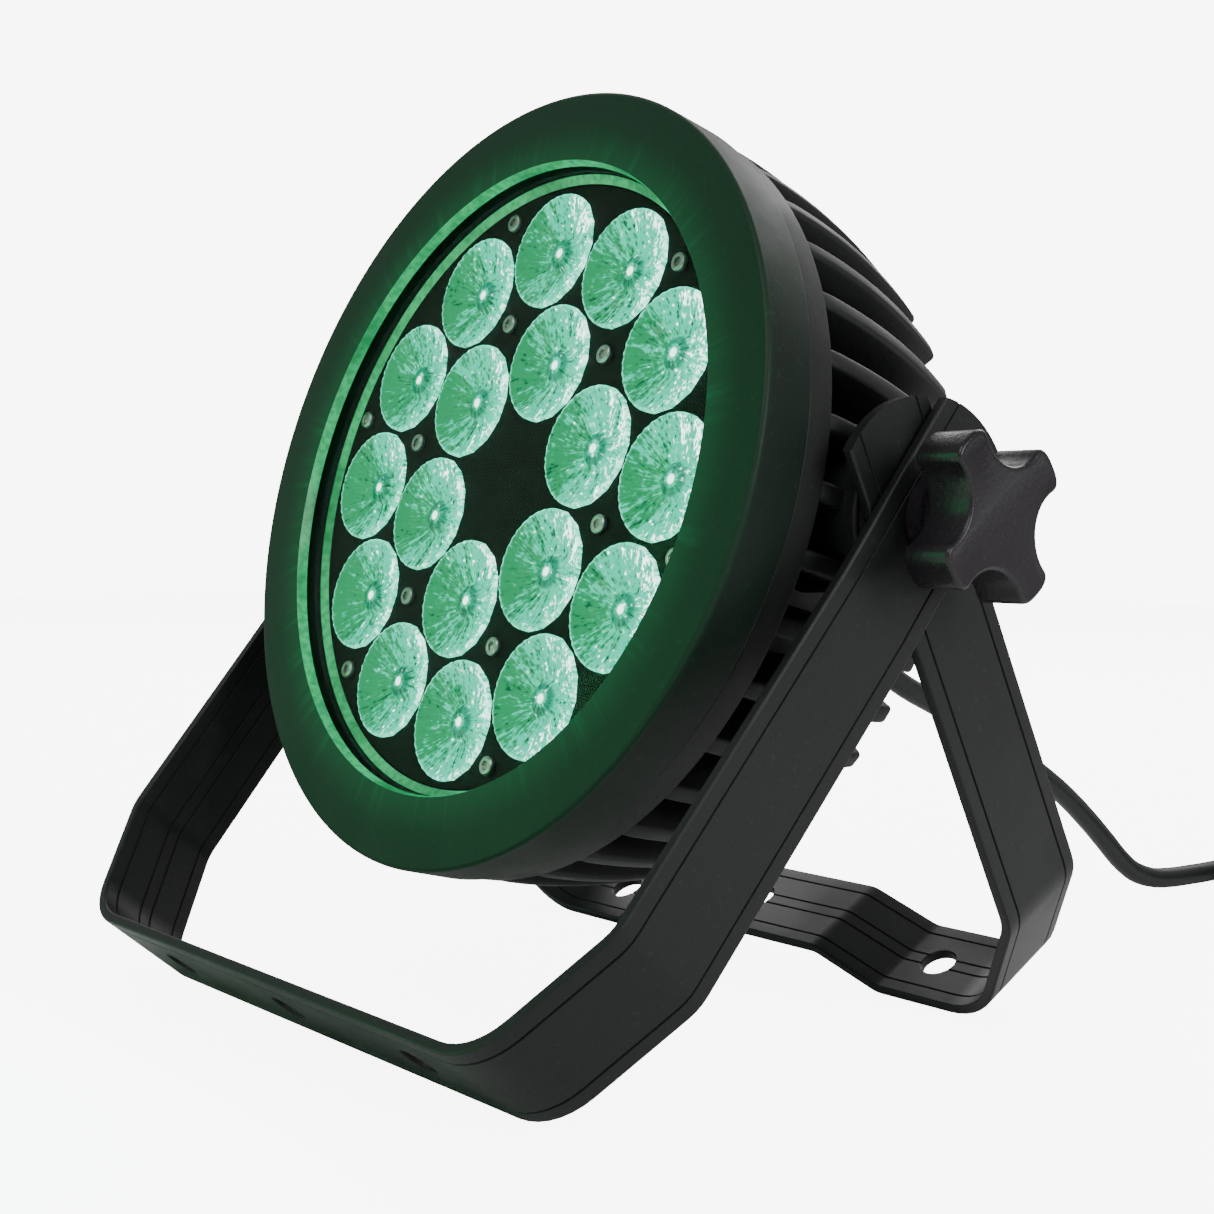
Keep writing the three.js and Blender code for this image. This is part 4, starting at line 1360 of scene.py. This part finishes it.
@dataclass
class RearCover:
    """Rear cover with its display window, buttons, vent and gland."""

    top: float = -44.9
    radius: float = 93.5
    flange: float = 4.4
    face: float = -57.3
    inside: float = -53.3
    plateau: float = 66.0
    window: Point2 = (60.0, 24.0)
    window_height: float = 34.0
    button_radius: float = 4.4
    button_pitch: float = 18.0
    button_height: float = 10.0
    button_proud: float = 1.6
    vent: Point2 = (-32.0, -30.0)
    gland: Point2 = (20.0, -22.0)

    def buttons(self) -> list[Point2]:
        """Button centres."""
        return [((i - 1.5) * self.button_pitch, self.button_height) for i in range(4)]

    def cover(self, finish: Finish) -> Piece:
        """The cover itself, with its openings cut."""
        low = self.top - self.flange
        profile = rounded([
            (0, self.face, 0), (self.plateau, self.face, 3.0), (self.plateau + 7, low, 2.5),
            (self.radius, low, 1.6), (self.radius, self.top, 0.5), (self.plateau + 3, self.top, 0),
            (self.plateau - 3, self.inside, 0), (0, self.inside, 0),
        ])
        w, h = self.window
        wide, tall, y = w / 2, h / 2, self.window_height
        hole = rounded([(-wide, y - tall, 2), (wide, y - tall, 2), (wide, y + tall, 2), (-wide, y + tall, 2)],
                       closed=True)
        through = (self.face - 2, self.inside + 2)
        frame_edge = rounded([(-wide - 2, y - tall - 2, 3), (wide + 2, y - tall - 2, 3),
                              (wide + 2, y + tall + 2, 3), (-wide - 2, y + tall + 2, 3)], closed=True)
        cutters = [slab(hole, *through), slab(frame_edge, self.face - 2, self.face + 0.5)]
        cutters += [rod(self.button_radius + 0.4, *through, at) for at in self.buttons()]
        sink = (self.face - 2, self.face + 0.4)
        cutters += [rod(self.button_radius + 2.2, *sink, at) for at in self.buttons()]
        bm = carve(spun(profile, 128), cutters)
        return dress(mesh_object("back_cover", moved(bm, HEAD_PLACE), 30), Slot.HOUSING, finish)

    def screws(self, finish: Finish) -> Piece:
        """Twelve cap screws round the cover's flange."""
        low = self.top - self.flange
        made = []
        for at in ring_points(12, self.radius - 9.5, 15):
            profile = rounded([
                (0, low + 1, 0), (3.4, low + 1, 0), (3.4, low - 2.4, 0.7), (1.6, low - 2.4, 0.2),
                (1.6, low - 0.8, 0.1), (0, low - 0.8, 0),
            ])
            made.append(moved(spun(profile, 36), Matrix.Translation(Vector((*at, 0)) * MM)))
        return dress(mesh_object("cover_screws", moved(joined(made), HEAD_PLACE), 30), Slot.STEEL, finish)

    def button(self, name: str, at: Point2, finish: Finish) -> Piece:
        """One round push button with a dished top."""
        face = self.face - self.button_proud
        profile = rounded([(0, self.inside + 3.8, 0), (self.button_radius, self.inside + 3.8, 0.3),
                           (self.button_radius, face, 0.7), (3.0, face, 0.5), (2.0, face + 0.35, 0.5),
                           (0, face + 0.4, 0)])
        bm = moved(spun(profile, 48), Matrix.Translation(Vector((*at, 0)) * MM))
        return dress(mesh_object(name, moved(bm, HEAD_PLACE), 40), Slot.PLASTIC, finish)

    def breather(self, finish: Finish) -> Piece:
        """The pressure vent: a low cap with a ring of notches."""
        top = self.face - 0.3
        profile = rounded([(0, top, 0), (7.5, top, 0.2), (7.5, top - 3, 0.8), (4.5, top - 3, 0.4),
                           (4.0, top - 2.3, 0.3), (0, top - 2.3, 0)])
        notches = [rod(0.7, top - 4, top - 1.2, at, 12) for at in ring_points(12, 7.4, 0)]
        bm = moved(carve(spun(profile, 64), notches), Matrix.Translation(Vector((*self.vent, 0)) * MM))
        return dress(mesh_object("breather_cap", moved(bm, HEAD_PLACE), 30), Slot.PLASTIC, finish)

    def gland_body(self, finish: Finish) -> Piece:
        """The gland's six sided flange."""
        bm = rod(13.0, self.face - 5.3, self.face - 0.3, steps=6)
        soften(bm, 0.8, 2)
        thread = spun(rounded([(8, self.inside + 2, 0), (8, self.face - 12, 0.5), (5.2, self.face - 12, 0),
                               (5.2, self.inside + 2, 0)], closed=True), 48, closed=True)
        bm = moved(joined([bm, thread]), Matrix.Translation(Vector((*self.gland, 0)) * MM))
        return dress(mesh_object("gland_hexagon", moved(bm, HEAD_PLACE), 30), Slot.PLASTIC, finish)

    def dome_nut(self, finish: Finish) -> Piece:
        """The gland's domed nut with grip ribs."""
        start = self.face - 5.6
        tip = start - 13.5
        profile = rounded([(8.4, start, 0.3), (10.6, start, 0.6), (10.6, tip + 4, 2.0), (8.4, tip, 1.2),
                           (6.6, tip, 0.4), (6.6, start - 8, 0), (8.4, start - 7.5, 0)], closed=True)
        ribs = []
        for i in range(18):
            rib = brick((9.6, -0.7, tip + 5), (11.2, 0.7, start - 1.2))
            soften(rib, 0.35)
            ribs.append(moved(rib, Matrix.Rotation(math.tau * i / 18, 4, "Z")))
        bm = joined([spun(profile, 64, closed=True), *ribs])
        bm = moved(bm, Matrix.Translation(Vector((*self.gland, 0)) * MM))
        return dress(mesh_object("gland_dome_nut", moved(bm, HEAD_PLACE), 30), Slot.PLASTIC, finish)

    def build(self, finishes: Finishes) -> None:
        """Makes everything on the back."""
        settle(self.cover(finishes.casting), Body.HEAD, "rear_cover")
        settle(self.screws(finishes.steel), Body.HEAD)
        settle(self.breather(finishes.knob), Body.HEAD, "pressure_vent")
        settle(self.gland_body(finishes.knob), Body.HEAD, "cable_gland")
        settle(self.dome_nut(finishes.knob), Body.HEAD, "gland_nut")
        for i, at in enumerate(self.buttons()):
            button = self.button(f"push_button_{i + 1}", at, finishes.knob)
            settle(button, f"button_{i + 1}", f"menu_button_{i + 1}")


# ------------------------------------------------------------------ straps and knobs


@dataclass
class Strap:
    """One U shaped strap: flat bar with lengthwise grooves, bent and drilled."""

    name: str
    node: str
    body: Body
    mount: str
    half_span: float
    reach: float
    bend_reach: float
    toe: float
    hole_pitch: float
    raised: tuple[float, float, float] | None = None
    width: float = 36.7
    thickness: float = 3.5
    slope: float = 0.605
    end_radius: float = 35.0
    bore: float = 5.4
    hole: float = 6.0
    groove_edge: float = 13.0
    groove_middle: float = 2.4

    def line(self) -> list[Point2]:
        """The bar's middle line from one end round to the other."""
        mid = self.thickness / 2
        x = self.half_span - mid
        low = -(self.reach - mid)
        foot = x - self.toe - (-low - self.bend_reach) * self.slope
        right = [(x, self.end_radius + 1, 0.0), (x, -self.end_radius, 60.0),
                 (x - self.toe, -self.bend_reach, 14.0), (foot, low, 24.0)]
        if self.toe == 0:
            right.pop(1)
        cross = []
        if self.raised:
            start, end, rise = self.raised
            cross = [(end, low, 9.0), (start, low + rise, 9.0), (-start, low + rise, 9.0), (-end, low, 9.0)]
        left = [(-u, v, bend) for u, v, bend in reversed(right)]
        return rounded([*right, *cross, *left])

    def section(self) -> list[Point2]:
        """The bar's section, as offset from the middle line and place across the width.

        Returns:
            The closed outline: two lengthwise grooves outside, four inside, round corners.
        """
        t, w = self.thickness / 2, self.width / 2
        points = rounded([(t, -w, 0.8), (t, w, 0.8), (-t, w, 0.8), (-t, -w, 0.8)], closed=True)
        edge, middle, floor, lip = self.groove_edge, self.groove_middle, 0.2, 0.45
        deep, shallow = 0.55, 0.5
        outside = [(t - d, at + s) for at in (-edge, edge)
                   for s, d in ((-lip, 0), (-floor, deep), (floor, deep), (lip, 0))]
        inside = [(-t + d, at - s) for at in (edge, middle, -middle, -edge)
                  for s, d in ((-lip, 0), (-floor, shallow), (floor, shallow), (lip, 0))]
        quarter = len(points) // 4
        return points[:quarter] + outside + points[quarter:3 * quarter] + inside + points[3 * quarter:]

    def bar(self) -> Mesh:
        """The section swept along the middle line."""
        line = [Vector((u, v)) for u, v in self.line()]
        frames = []
        for i, at in enumerate(line):
            back = (at - line[max(i - 1, 0)]).normalized() if i else (line[1] - at).normalized()
            ahead = (line[i + 1] - at).normalized() if i + 1 < len(line) else back
            along = (back + ahead).normalized()
            widen = 1 / max(along.dot(ahead), 0.5)
            out = Vector((along.y, -along.x)) * -widen
            frames.append(Matrix(((out.x, 0, along.x, at.x * MM), (out.y, 0, along.y, at.y * MM),
                                  (0, 1, 0, 0), (0, 0, 0, 1))))
        bm = bmesh.new()
        verts = [bm.verts.new((s * MM, w * MM, 0)) for s, w in self.section()]
        bm.faces.new(verts)
        edges = list(bm.edges)
        bmesh.ops.transform(bm, matrix=frames[0], space=Matrix.Identity(4), verts=verts)
        for last, here in zip(frames, frames[1:]):
            grown = bmesh.ops.extrude_edge_only(bm, edges=edges)["geom"]
            edges = [g for g in grown if isinstance(g, bmesh.types.BMEdge)]
            fresh = [g for g in grown if isinstance(g, bmesh.types.BMVert)]
            bmesh.ops.transform(bm, matrix=here @ last.inverted(), space=Matrix.Identity(4), verts=fresh)
        bmesh.ops.edgeloop_fill(bm, edges=edges)
        bmesh.ops.recalc_face_normals(bm, faces=bm.faces)
        return bm

    def cutters(self) -> list[Mesh]:
        """Round ends, pivot bores and the holes of the cross piece, each with a broken edge."""
        made = []
        turn = Matrix.Rotation(math.pi / 2, 4, "Y")
        arc = [(u, v) for u, v in ring_points(72, self.end_radius, 0) if v > 0.6 * self.end_radius]
        outline = [*arc, (arc[-1][0], self.end_radius + 9), (arc[0][0], self.end_radius + 9)]
        for side in (-1, 1):
            ends = sorted((side * (self.half_span - 9), side * (self.half_span + 6)))
            made.append(moved(slab(outline, *ends), turn))
            made.append(moved(rod(self.bore, *ends), turn))
        for i in (-1, 0, 1):
            rise = self.raised[2] if self.raised and i == 0 else 0.0
            outer, inner = -(self.reach - rise), -(self.reach - rise - self.thickness)
            flare = [(0, outer - 1), (self.hole + 1.5, outer - 1), (self.hole, outer + 0.5),
                     (self.hole, inner - 0.5), (self.hole + 1.5, inner + 1), (0, inner + 1)]
            drill = spun(flare, 48)
            upright = Matrix.Rotation(-math.pi / 2, 4, "X")
            made.append(moved(drill, Matrix.Translation((i * self.hole_pitch * MM, 0, 0)) @ upright))
        return made

    def build(self, finishes: Finishes) -> None:
        """Makes the strap."""
        bm = carve(self.bar(), self.cutters())
        strap = mesh_object(self.name, moved(bm, strap_place(self.mount)), 32)
        settle(dress(strap, Slot.STRAP, finishes.strap), self.body, self.node)


@dataclass
class StarKnob:
    """A moulded knob of four lobes on a hub."""

    seat: float = 144.3
    hub_radius: float = 13.0
    hub_height: float = 9.0
    radius: float = 26.5
    tip_half_angle: float = 17.0
    waist: float = 14.6
    edge: float = 1.2
    thickness: float = 16.0
    turn: float = 36.0

    def outline(self) -> list[Point2]:
        """Four lobes with round corners, joined by hollow arcs.

        Returns:
            The points of the closed outline.
        """
        def ray(angle: float) -> Vector:
            """Unit direction at an angle."""
            return Vector((math.cos(angle), math.sin(angle)))

        def bend(start: Vector, corner: Vector, end: Vector) -> list[Vector]:
            """Points that round a corner."""
            steps = (0.2, 0.4, 0.6, 0.8)
            return [start * (1 - t) ** 2 + corner * (2 * t * (1 - t)) + end * t ** 2 for t in steps]

        tip = math.radians(self.tip_half_angle)
        spread = math.pi / 4 - tip
        across, along = self.radius * math.sin(spread), self.radius * math.cos(spread)
        sag = along - self.waist
        hollow = (across ** 2 + sag ** 2) / (2 * sag)
        reach = math.acos((hollow - sag) / hollow) - math.radians(17)
        points: list[Vector] = []
        for i in range(4):
            middle = math.radians(self.turn + 90 * i)
            half = middle + math.pi / 4
            points += [ray(middle + tip * (k / 3 - 1) * 0.4) * self.radius for k in range(7)]
            centre = ray(half) * (self.waist + hollow)
            arc = [centre + ray(half + math.pi + reach * (1 - k / 8)) * hollow for k in range(17)]
            points += bend(points[-1], ray(middle + tip) * self.radius, arc[0])
            ahead = half + math.pi / 4
            points += arc
            points += bend(arc[-1], ray(ahead - tip) * self.radius, ray(ahead - tip * 0.4) * self.radius)
        return [tuple(at) for at in points]

    def build(self, name: str, node: str, body: Body, side: int, finishes: Finishes) -> None:
        """Makes one knob.

        Args:
            name: Name of the piece.
            node: The plain solid that it stands for.
            body: The body that it rides on.
            side: 1 for the +X side and -1 for the other.
            finishes: All finishes.
        """
        base = self.seat + self.hub_height
        star = slab(self.outline(), base + self.edge, base + self.thickness - self.edge)
        flats = [face for face in star.faces if len(face.verts) > 4]
        for flat in flats:
            for k in range(5):
                a, b = (math.radians(18.0 * turn) for turn in (k, k + 1))
                bmesh.ops.inset_region(star, faces=[flat], use_even_offset=True,
                                       thickness=self.edge * (math.cos(a) - math.cos(b)) * MM,
                                       depth=self.edge * (math.sin(b) - math.sin(a)) * MM)
            bmesh.ops.inset_region(star, faces=[flat], use_even_offset=True,
                                   thickness=0.8 * MM, depth=-0.25 * MM)
        hub = spun(rounded([(self.hub_radius - 7.6, self.seat, 0), (self.hub_radius, self.seat, 0.8),
                            (self.hub_radius, base - 3, 3), (self.hub_radius + 3, base + 1, 0),
                            (0, base + 1, 0), (0, base - 1, 0), (self.hub_radius - 7.6, base - 1, 0)],
                           closed=True), 64, closed=True)
        bm = moved(joined([star, hub]), side_place(side))
        settle(dress(mesh_object(name, bm, 32), Slot.PLASTIC, finishes.knob), body, node)


def dress_kept(finishes: Finishes) -> None:
    """Gives the plain solids that stay in view or inside their finishes."""
    kept = {
        "front_glass": finishes.glass, "display_window": finishes.window, "glass_gasket": finishes.rubber,
        "rear_gasket": finishes.rubber, "lens_plate": finishes.plate, "led_board": finishes.board,
        "control_board": finishes.board, "power_supply": finishes.tray, "knob_stud_right": finishes.steel,
        "knob_stud_left": finishes.steel, "pivot_washer_right": finishes.knob,
        "pivot_washer_left": finishes.knob,
    }
    for name, finish in kept.items():
        mesh = frame["nodes"][name].data
        mesh.materials.clear()
        mesh.materials.append(finish)


def main() -> None:
    """Builds the light."""
    logging.basicConfig(level=logging.INFO, format="%(message)s")
    studio = Studio()
    studio.camera()
    finishes = Finishes()
    Lead().build(finishes)
    studio.lights()
    studio.floor()
    Bezel().build(finishes)
    Casting().build(finishes)
    Optics().build(finishes)
    RearCover().build(finishes)
    outer = Strap(
        name="outer_strap", node="front_yoke", body=Body.FRONT_STRAP, mount="front_strap_seat",
        half_span=144.0, reach=194.7, bend_reach=151.0, toe=5.2, hole_pitch=71.0,
    )
    inner = Strap(
        name="inner_strap", node="rear_yoke", body=Body.REAR_STRAP, mount="rear_strap_seat",
        half_span=139.6, reach=173.0, bend_reach=131.5, toe=0.0, hole_pitch=83.0, raised=(44.0, 68.5, 11.7),
    )
    outer.build(finishes)
    inner.build(finishes)
    knob = StarKnob()
    knob.build("star_knob_right", "locking_knob_right", Body.KNOB_RIGHT, 1, finishes)
    knob.build("star_knob_left", "locking_knob_left", Body.KNOB_LEFT, -1, finishes)
    dress_kept(finishes)


if __name__ == "__main__":
    main()
